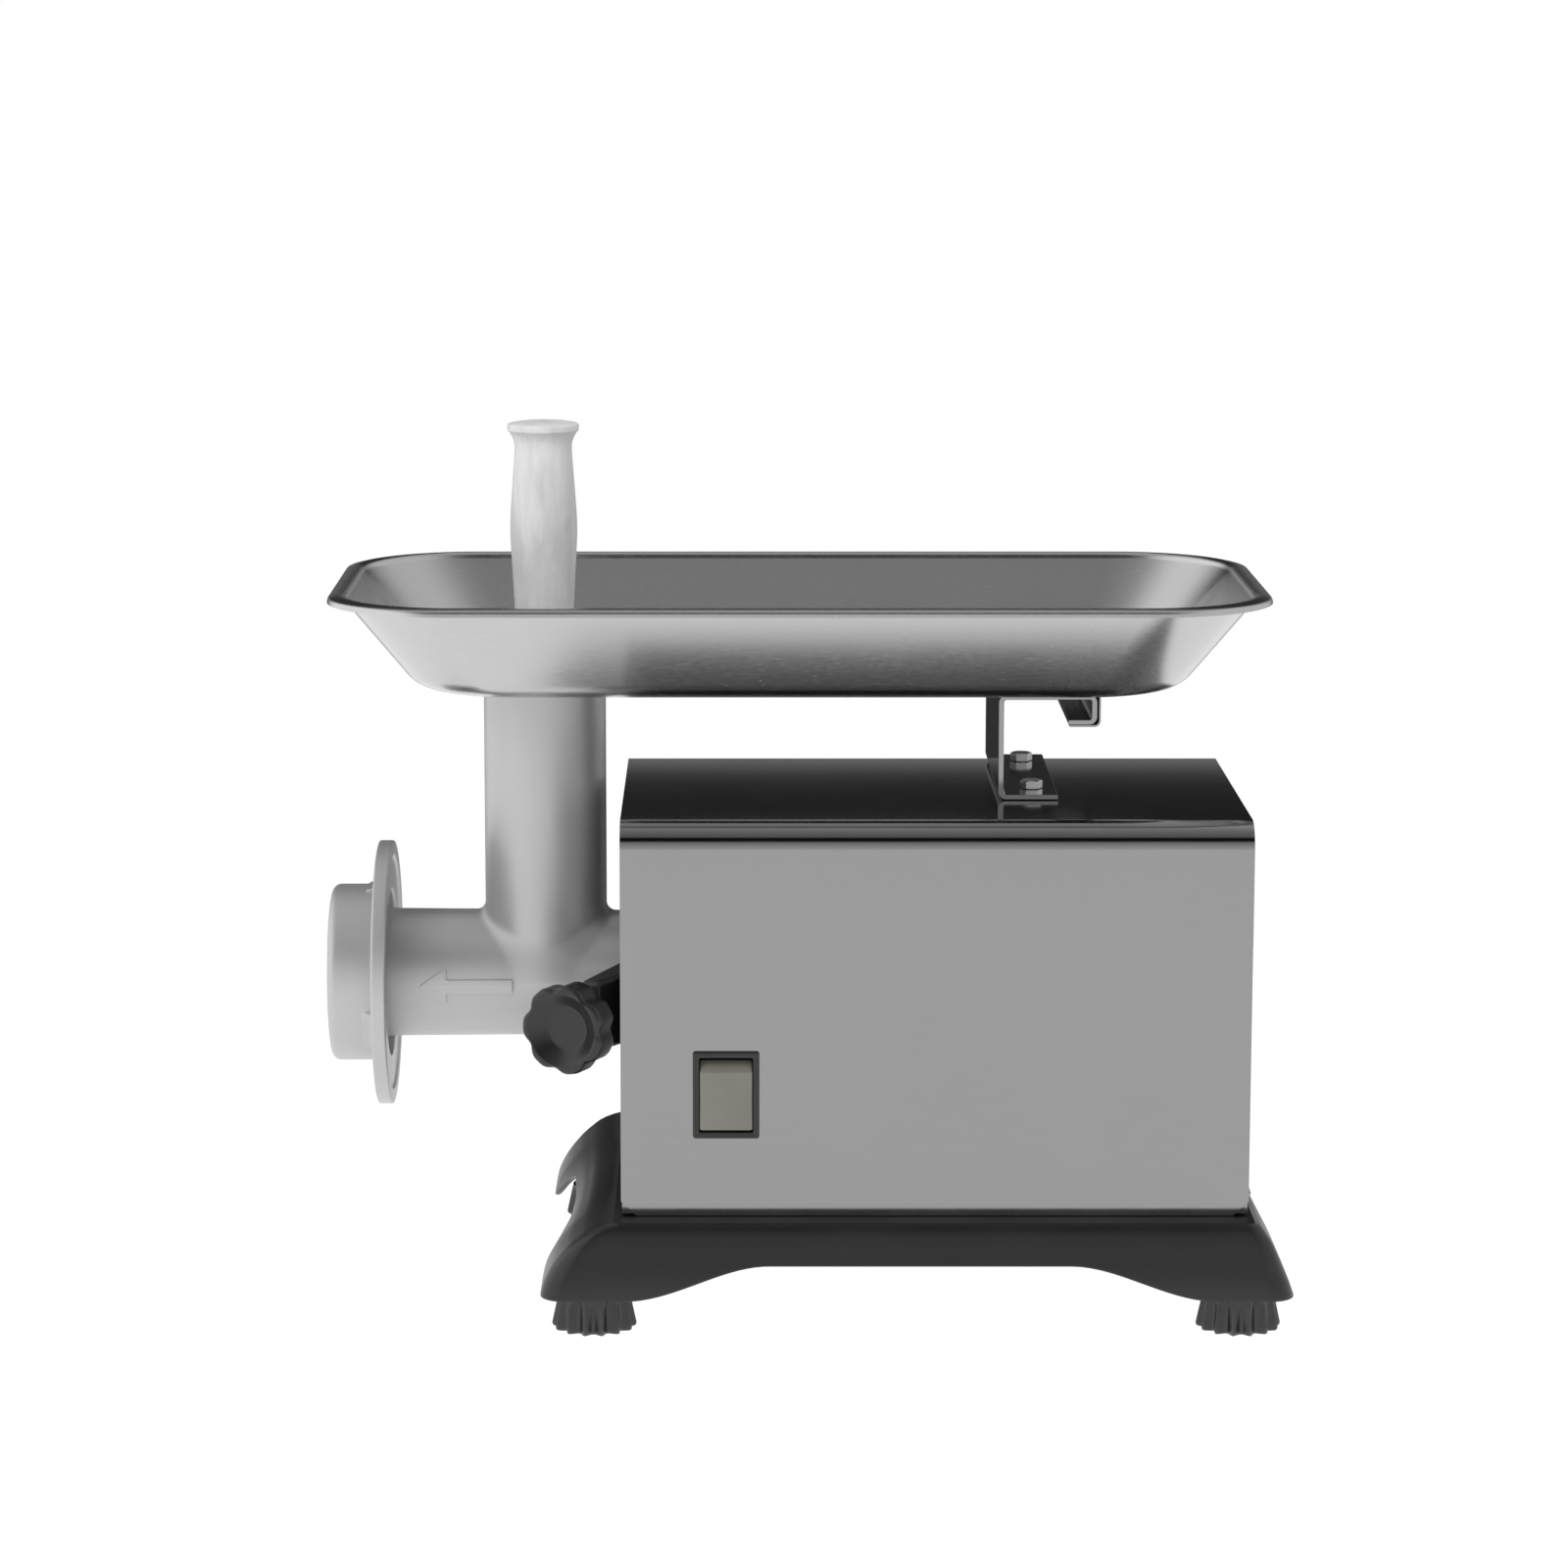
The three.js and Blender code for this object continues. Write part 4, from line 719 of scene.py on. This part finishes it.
def barrel_field(x, y, z):
    """The cast head: barrel and throat run together with a fillet, then bored."""
    y, z_head = y - HEAD[1], z - HEAD[2]
    barrel = polygon_distance(BARREL_OUTSIDE, np.hypot(y, z_head), x)
    throat_r = np.hypot(x - THROAT_X, y)
    throat = round_common(throat_r - 30.5, np.maximum(z - 298, HEAD[2] - z), 1.0)
    body = round_union(barrel, throat, 5.0)
    chamber = polygon_distance(BARREL_INSIDE, np.hypot(y, z_head), x)
    bore = np.maximum(polygon_distance(THROAT_INSIDE, throat_r, z), HEAD[2] - z)
    return round_cut(body, np.minimum(chamber, bore), 0.7)


barrel = implicit("cast_head_barrel", barrel_field, (-231, -26.5, 104.5), (-51.5, 59.5, 300),
                  1.1)
piece(barrel, "frame", "cast_head", "head_barrel", smooth=60)

RING_PROFILE = rounded([(33, -236, 0.6), (44.5, -236, 4.2), (44.5, -211.3, 1.0), (58.5, -211.3, 0.6),
                        (59.2, -212.5, 0.3), (66.5, -212.5, 0.9), (66.5, -205.2, 0.9), (59.2, -205.2, 0.6),
                        (57.5, -206.4, 1.2), (41.6, -206.4, 0.6), (41.6, -231.5, 0.4), (33, -231.5, 0.4)])


def ring_field(x, y, z):
    """The ring nut, with three gussets from its collar to its flange."""
    y, z = y - HEAD[1], z - HEAD[2]
    r = np.hypot(y, z)
    body = polygon_distance(RING_PROFILE, r, x)
    gusset = [(-217.5, 42), (-217.5, 44.3), (-216, 44.6), (-214.6, 45.2), (-213.4, 46.2), (-212.4, 47.4),
              (-211.3, 48.6), (-210.3, 48.6), (-210.3, 42)]
    for angle in (90, 210, 330):
        c, s = math.cos(math.radians(angle)), math.sin(math.radians(angle))
        along, across = y * c + z * s, z * c - y * s
        rib = round_common(polygon_distance(gusset, x, along), np.abs(across) - 11.5, 1.5)
        body = round_union(body, rib, 1.0)
    return body


ring = implicit("cast_ring_nut", ring_field, (-238, -52, 79), (-203, 85, 216), 0.9)
piece(ring, "ring", "cast_head", "ring_nut", smooth=60)


def make_arrow():
    """A plain arrow raised on the front of the barrel, pointing to the ring nut."""
    outline = rounded([(-191, 0, 0.8), (-177, 9.5, 0.8), (-177, 3.4, 0.6), (-144, 3.4, 0.8),
                       (-144, -3.4, 0.8), (-177, -3.4, 0.6), (-177, -9.5, 0.8)], steps=4)
    root, crest, barrel_radius = 30.6, 33.1, 31.2
    arrow = new_object("feed_arrow", prism(outline, root, crest, "y"))
    with edited(arrow.data) as work:
        top = [e for e in work.edges if all(v.co.y > (crest - 0.1) * MM for v in e.verts)]
        bmesh.ops.bevel(work, geom=top, offset=0.35 * MM, segments=2, affect="EDGES")
        for k in range(-9, 10):
            every = work.verts[:] + work.edges[:] + work.faces[:]
            bmesh.ops.bisect_plane(work, geom=every, plane_co=(0, 0, k * MM), plane_no=(0, 0, 1))
        for v in work.verts:
            radius, angle = v.co.y, (v.co.z - 1 * MM) / (barrel_radius * MM)
            v.co.y = HEAD[1] * MM - radius * math.cos(angle)
            v.co.z = HEAD[2] * MM + radius * math.sin(angle)
    return arrow


piece(make_arrow(), "frame", "cast_head", smooth=35)


def plate_field(x, y, z):
    """The grinding plate: a ground disc with two rings of holes, a hub hole and a key notch."""
    y, z = y - HEAD[1], z - HEAD[2]
    r = np.hypot(y, z)
    outline = rounded([(0, -231.2, 0), (34.7, -231.2, 0.7), (34.7, -223.4, 0.7), (0, -223.4, 0)])
    disc = polygon_distance(outline, r, x)
    holes = r - 6.3
    for count, circle in ((6, 13.5), (12, 24)):
        for k in range(count):
            a = 2 * math.pi * k / count + 0.2
            holes = np.minimum(holes, np.hypot(y - circle * math.cos(a), z - circle * math.sin(a)) - 4)
    notch = np.maximum(np.abs(y) - 2.6, 31.5 - z)
    return round_cut(disc, np.minimum(holes, notch), 0.5)


plate = implicit("perforated_plate", plate_field, (-232.5, -20, 111), (-222, 53, 184),
                 0.7)
piece(plate, "plate", "machined_steel", "grinding_plate", smooth=60)

BOSS_OUTLINE = rounded([(-107.3, -91.8, 2), (-98.3, -96.2, 2), (-66, -48, 8), (-58, -8, 0), (-83.7, -8, 0),
                        (-83.7, -31, 2), (-89.4, -44.9, 6)])
SLEEVE = rounded([(0, -83.7, 0), (34, -83.7, 1.5), (34, -58.3, 1), (42, -58.3, 1.5), (42, -52.3, 1.5),
                  (0, -52.3, 0)])
CLAMP_WAY = (math.sin(KNOB_ANGLE), math.cos(KNOB_ANGLE))


def socket_field(x, y, z):
    """The black socket that takes the head: a ring, a flange and the slanted boss of the clamp screw."""
    r = np.hypot(y - HEAD[1], z - HEAD[2])
    sleeve = polygon_distance(SLEEVE, r, x)
    boss = round_common(polygon_distance(BOSS_OUTLINE, x, y), slab(z, 131.5, 166), 2.5)
    body = round_union(sleeve, boss, 3.0)
    off = (x - KNOB_AT[0]) * CLAMP_WAY[1] - (y - KNOB_AT[1]) * CLAMP_WAY[0]
    screw_way = np.hypot(off, z - KNOB_AT[2]) - 5.4
    return round_cut(body, np.minimum(r - 25.4, screw_way), 0.6)


socket = implicit("head_socket_casting", socket_field, (-109.5, -98.5, 104), (-50.5, 60, 191),
                  1.0)
piece(socket, "frame", "socket_black", "head_socket", smooth=60)


# ---------------------------------------------------------------- clamp knob and screw
def make_knob():
    """Seven broad lobes round a shallow dish, drawn as rings that fade from lobed to round."""
    count = 168
    rows = [(9.6, 16.2, 0), (18.4, 16.2, 0.5), (20.6, 15.7, 0.85), (21.6, 14.6, 1), (21.95, 12.8, 1),
            (21.95, 3.4, 1), (21.7, 1.9, 1), (21.1, 0.8, 1), (20.2, 0.2, 0.9), (19.1, 0.0, 0.5),
            (18.4, 0.0, 0.15), (17.9, 0.12, 0), (17.4, 0.5, 0), (14.0, 3.2, 0), (11.0, 5.65, 0),
            (10.3, 5.98, 0), (9.7, 6.1, 0), (6.0, 6.1, 0)]
    rings = []
    for radius, depth, lobed in rows:
        ring = []
        for k in range(count):
            a = 2 * math.pi * k / count
            r = radius - 2.2 * lobed * ((1 - math.cos(7 * a)) / 2) ** 2.2
            ring.append((depth, r * math.cos(a), r * math.sin(a)))
        rings.append(ring)
    return loft(rings)


knob = new_object("lobed_knob", at_clamp(make_knob()))
piece(knob, "knob", "knob_black", "clamp_knob", smooth=50)


def make_clamp_screw():
    """The screw's collar and its threaded stem, the thread drawn as one wave that climbs along the stem."""
    collar = lathe(rounded([(0, 16.4, 0), (7.5, 16.4, 0.6), (7.5, 27, 0.8), (4.2, 27, 0), (4.2, 116, 0.8),
                            (0, 116, 0)]), "x")
    count, pitch, start, length = 24, 1.5, 27.5, 88
    rings = []
    for i in range(int(length / pitch * 6) + 1):
        s = start + i * pitch / 6
        ring = []
        for k in range(count):
            a = 2 * math.pi * k / count
            r = 4.55 + 0.4 * math.cos(2 * math.pi * (s / pitch - k / count))
            ring.append((s, r * math.cos(a), r * math.sin(a)))
        rings.append(ring)
    return joined(collar, loft(rings))


screw = new_object("clamp_screw_thread", at_clamp(make_clamp_screw()))
piece(screw, "knob", "zinc_fastener", "clamp_screw", smooth=50)


# ---------------------------------------------------------------- switch
def make_bezel():
    """The switch's frame: a low collar on the sheet, a well for the rocker and the well's box behind."""
    x0, x1, z0, z1, front = (SWITCH[k] for k in ("x0", "x1", "z0", "z1", "front"))
    back = HOUSING["y0"] - 0.3
    steps = [(2.4, 0.8, -84), (2.4, 0.8, back), (0, 1.4, back), (0, 1.4, front + 0.7),
             (0.15, 1.4, front + 0.2), (0.5, 1.4, front), (1.3, 1.2, front), (1.45, 1.1, front + 0.35),
             (2.5, 0.9, front + 0.35), (2.9, 0.8, front + 0.6), (3.0, 0.8, front + 1.2),
             (3.0, 0.8, -88)]  # inset, corner radius, Y
    return loft([[(a, y, b) for a, b in rounded_rectangle(x0 + d, x1 - d, z0 + d, z1 - d, radius, 5)]
                 for d, radius, y in steps])


piece(new_object("switch_frame", make_bezel()), "frame", "switch_bezel_plastic", "switch_bezel", smooth=45)


def make_rocker():
    """The rocker's side view drawn along X, its edges rounded in towards the pivot at both ends."""
    pivot_y, pivot_z = SWITCH["pivot_y"], (SWITCH["z0"] + SWITCH["z1"]) / 2 - 0.6
    outline = rounded([(7.6, -16.6, 0.5), (7.1, -2.4, 40), (7.6, 11.8, 0.5), (2, 17, 0.8), (-10, 12, 1),
                       (-12, 0, 3), (-10, -12, 1), (2, -16.9, 0.8)], steps=5)
    section = [(pivot_y - out, pivot_z + up) for out, up in outline]
    x0, x1 = SWITCH["x0"] + 3.4, SWITCH["x1"] - 3.4
    rings = []
    for x, shrink in ((x0, 0.95), (x0 + 0.15, 0.35), (x0 + 0.7, 0.05), (x0 + 1.3, 0), (x1 - 1.3, 0),
                      (x1 - 0.7, 0.05), (x1 - 0.15, 0.35), (x1, 0.95)):
        ring = []
        for a, b in section:
            inwards = Vector((pivot_y - a, pivot_z - b)).normalized() * shrink
            ring.append((x, a + inwards.x, b + inwards.y))
        rings.append(ring)
    return loft(rings)


piece(new_object("rocker_cap", make_rocker()), "switch", "switch_rocker_plastic", "rocker")


# ---------------------------------------------------------------- cable gland
GLAND_PROFILE = rounded([(4, -9, 0), (8, -9, 0.3), (8, 0.3, 0), (11.5, 0.3, 0.4), (11.5, 6, 0.8),
                         (9.5, 7.8, 0.8), (7.6, 13.6, 0.6), (4, 14, 0.6)])


def gland_wave(angle, radius, height):
    """Grip ribs round the collar."""
    return -0.35 * (1 - abs(math.cos(9 * angle))) if radius > 11 and 0.6 < height < 5.6 else 0.0


gland = new_object("gland_body", lathe(GLAND_PROFILE, "y", GLAND, 180, gland_wave))
piece(gland, "frame", "knob_black", "cable_gland", smooth=40)


# ---------------------------------------------------------------- tray, bracket, hook and their bolts
TRAY = dict(length=461.0, width=237.0, x=-1.5, corner=62.0, rim=347.0, floor=299.3, floor_inset=54.0,
            fillet=20.0, steeper=0.84, corner_share=0.42)
# Inset, drop below the crest, corner radius.
TRAY_RIM = [(9.4, 2.8, 0), (8.2, 0.1, 2.4), (5.2, 0.0, 6), (1.2, 1.1, 1.6), (0.85, 3.5, 0)]


def tray_section():
    """From the floor out to the turned-down rim, as (inset, height)."""
    rim, floor, inset, fillet = TRAY["rim"], TRAY["floor"], TRAY["floor_inset"], TRAY["fillet"]
    start = arc(inset, floor + fillet, fillet, 270, 218, 12)
    a, b = start[-1], (TRAY_RIM[0][0], rim - TRAY_RIM[0][1])
    wall = [(a[0] + (b[0] - a[0]) * t, a[1] + (b[1] - a[1]) * t) for t in (0.25, 0.5, 0.75)]
    end = rounded([(*wall[-1], 0), (b[0], b[1], 6)]
                  + [(c, rim - drop, radius) for c, drop, radius in TRAY_RIM[1:]], closed=False, steps=6)
    return start + wall[:-1] + end


def tray_ring(inset, z):
    """The pan's outline at a height; its long walls lean less than its ends."""
    x, y = TRAY["x"], HEAD[1]
    half_length = TRAY["length"] / 2 - inset
    half_width = TRAY["width"] / 2 - inset * TRAY["steeper"]
    corner = TRAY["corner"] - inset * TRAY["corner_share"]
    outline = rounded_rectangle(x - half_length, x + half_length, y - half_width, y + half_width, corner, 16)
    return [(a, b, z) for a, b in outline]


def make_tray():
    """The pan as one skin, with its floor filled round the hole and the spout drawn down through the hole."""
    section = tray_section()
    outside = offset_path(section, -0.5)
    inside = offset_path(section, 0.5)[::-1]
    skin = [tray_ring(inset, z) for inset, z in outside + inside]
    count = len(skin[0])
    verts = [p for ring in skin for p in ring]
    faces = grid_faces(len(skin), count)
    low, high = TRAY["floor"] - 0.5, TRAY["floor"] + 0.5
    spout = [(30, high), (28.6, high - 0.25), (27.2, high - 0.95), (26.3, high - 2.1), (26, high - 3.6),
             (26, 288.4), (26.15, 288.1), (26.5, 288), (26.85, 288.1), (27, 288.4), (27, low - 3.6),
             (27.4, low - 2.2), (28.3, low - 1), (29.4, low - 0.3), (31, low)]
    segments = 96
    base = len(verts)
    for radius, z in spout:
        for k in range(segments):
            a = 2 * math.pi * k / segments
            verts.append((THROAT_X + radius * math.cos(a), HEAD[1] + radius * math.sin(a), z))
    faces += [tuple(base + i for i in face) for face in grid_faces(len(spout), segments)]
    tray = new_object("feed_pan", (verts, faces))
    with edited(tray.data) as work:
        open_edges = [e for e in work.edges if e.is_boundary]
        for height in (high, low):
            loops = [e for e in open_edges if all(abs(v.co.z - height * MM) < 1e-5 for v in e.verts)]
            bmesh.ops.triangle_fill(work, use_beauty=True, use_dissolve=False, edges=loops)
    return tray


piece(make_tray(), "tray_body", "tray_steel", "tray", smooth=40)

BRACKET_Y = (-45.5, 78.5)
BRACKET_PATH = rounded([(125, 247.55, 0), (97, 247.55, 2.6), (97, 296.95, 2.6), (142.4, 296.95, 2.6),
                        (142.4, 284.6, 2.6), (129.7, 284.6, 0)], closed=False, steps=8)
HOOK_PATH = rounded([(158, 298.2, 0), (145.25, 298.2, 2.2), (145.25, 282.25, 2.6), (130.5, 282.25, 0)],
                    closed=False, steps=8)
bracket = new_object("bracket_strip", prism(strip(BRACKET_PATH, 2.5), *BRACKET_Y, "y"))
piece(bracket, "frame", "stainless_sheet", "tray_bracket", bevel=0.3)
hook = new_object("hook_strip", prism(strip(HOOK_PATH, 1), BRACKET_Y[0] + 4, BRACKET_Y[1] - 4, "y"))
piece(hook, "tray_body", "stainless_sheet", "tray_hook", bevel=0.2)


def make_bolt(x, y):
    """A hexagon head with a turned chamfer on a plain shank."""
    head = new_object("bolt", lathe([(0, 249.1), (5.6, 249.1), (5.6, 253.1), (0, 253.1)], "z", (x, y, 0), 6))
    dome = lathe([(0, 240), (7.4, 240), (7.4, 250.9), (5.9, 252.4), (4.4, 253.2), (0, 253.2)],
                 "z", (x, y, 0), 64)
    carve(head, dome, operation="INTERSECT")
    shank = lathe(rounded([(0, 236, 0), (3, 236, 0.5), (3, 250.1, 0), (0, 250.1, 0)]), "z", (x, y, 0), 32)
    return carve(head, shank, operation="UNION")


for k, (x, y) in enumerate(BRACKET_BOLTS, 1):
    bolt = make_bolt(x, y)
    bolt.name = f"hex_bolt_{k}"
    piece(bolt, "frame", "zinc_fastener", f"bracket_bolt_{k}", smooth=30, bevel=0.12)


# ---------------------------------------------------------------- pusher
def make_pusher():
    """A turned pusher: a foot that fills the throat, a slim shank and a swelling handle under a flat knob."""
    foot = rounded([(0, 182, 0), (24, 182, 1.0), (24, 193, 2), (13, 202, 8), (13, 296, 0)],
                   closed=False, steps=8)
    waist = [(13.0, 300), (13.15, 306), (13.5, 313), (13.95, 321), (14.5, 330), (15.1, 341), (15.7, 352),
             (16.3, 362), (16.62, 369), (16.65, 375), (16.35, 382), (15.85, 389), (15.25, 397), (14.65, 405),
             (14.25, 411), (14.2, 414), (14.55, 416.4), (15.4, 418.6), (16.5, 420.4)]
    top = rounded([(16.5, 420.4, 0), (17.7, 421.8, 0.8), (17.7, 425.0, 1.0), (12, 426, 3), (0, 426, 0)],
                  closed=False, steps=6)
    return lathe(foot + waist + top[1:], "z", (THROAT_X, HEAD[1], 0), 128)


piece(new_object("turned_pusher", make_pusher()), "pusher_body", "pusher_plastic", "pusher", smooth=50)


# ---------------------------------------------------------------- studio
def make_floor():
    """A wide pale sheet under the object."""
    mesh = bpy.data.meshes.new("floor")
    mesh.from_pydata([(-6, -6, 0), (6, -6, 0), (6, 0.8, 0), (-6, 0.8, 0)], [], [(0, 1, 2, 3)])
    floor = bpy.data.objects.new("floor", mesh)
    bpy.context.collection.objects.link(floor)
    n = Nodes("pale_floor", Metallic=0.0, Roughness=0.9, Specular_IOR_Level=0.1,
              Emission_Color=(1, 1, 1, 1), Emission_Strength=1.0)
    tone = n.noise(n.place(), 3, 2)
    mesh.materials.append(n.finish(n.mixed(tone, grey(0.18), grey(0.2))))


# The room's brightness, by degrees up from the back.
ROOM = [(-30, 0.95), (-18, 0.95), (-15, 0.035), (1, 0.035), (3, 0.3), (6.2, 0.3), (7.4, 0.02), (19, 0.02),
        (26, 0.01), (38, 0.012), (50, 0.4), (66, 0.52), (80, 0.72), (93, 0.52), (118, 0.32), (130, 0.27),
        (136, 0.005), (148, 0.006), (156, 0.46), (169, 0.7), (180, 0.9)]


def make_world():
    """A pale studio: white to the eye, and a room of soft boxes to whatever the metal reflects."""
    world = bpy.data.worlds.new("studio")
    bpy.context.scene.world = world
    world.use_nodes = True
    world.node_tree.nodes.clear()
    n = Graph(world.node_tree)
    way = n.node("ShaderNodeSeparateXYZ", {0: n.node("ShaderNodeTexCoord").outputs["Generated"]})
    x, y, z = way.outputs
    low, span = ROOM[0][0], ROOM[-1][0] - ROOM[0][0]
    angle = n.maths("SUBTRACT", n.maths("ARCTAN2", z, y), math.radians(low))
    ramp = n.node("ShaderNodeValToRGB", {"Fac": n.maths("DIVIDE", angle, math.radians(span))})
    stops = ramp.color_ramp.elements
    for index, (degrees, shade) in enumerate(ROOM):
        stop = stops[index] if index < 2 else stops.new((degrees - low) / span)
        stop.position = (degrees - low) / span
        stop.color = (shade, shade, shade, 1)
    left = n.band(x, -0.36, -0.74, 0, 1, interpolation_type="SMOOTHSTEP")
    right = n.band(x, 0.25, 0.75, 0, 1, interpolation_type="SMOOTHSTEP")
    middle = n.maths("MULTIPLY", n.maths("SUBTRACT", 1.0, left), n.maths("SUBTRACT", 1.0, right))
    room = n.maths("ADD", n.maths("MULTIPLY", middle, ramp.outputs["Color"]), n.blend(left, 1.25, right, 0.8))
    ray = n.node("ShaderNodeLightPath").outputs
    studio = n.node("ShaderNodeBackground", {"Color": room, "Strength": 1.0}).outputs[0]
    even = n.node("ShaderNodeBackground", {"Color": (1, 1, 1, 1), "Strength": 0.55}).outputs[0]
    white = n.node("ShaderNodeBackground", {"Color": (1, 1, 1, 1), "Strength": 1.0}).outputs[0]
    soft = n.node("ShaderNodeMixShader", {0: ray["Is Glossy Ray"], 1: even, 2: studio}).outputs[0]
    seen = n.node("ShaderNodeMixShader", {0: ray["Is Camera Ray"], 1: soft, 2: white}).outputs[0]
    n.node("ShaderNodeOutputWorld", {0: seen})


def make_light(name, where, size, power):
    """A soft box facing the object, kept out of reflections."""
    data = bpy.data.lights.new(name, "AREA")
    data.shape = "RECTANGLE"
    data.size, data.size_y = size
    data.energy = power
    light = bpy.data.objects.new(name, data)
    light.visible_glossy = False
    light.location = where
    light.rotation_euler = (Vector((0, 0, 0.2)) - Vector(where)).to_track_quat("-Z", "Y").to_euler()
    bpy.context.collection.objects.link(light)


make_floor()
make_world()
make_light("key", (-1.5, -1.6, 1.9), (1.6, 1.6), 32)
make_light("fill", (1.9, -1.2, 1.3), (1.6, 1.6), 9)
make_light("rim", (0.4, 2.0, 1.8), (1.8, 1.2), 12)
bpy.context.scene.view_settings.view_transform = "Standard"
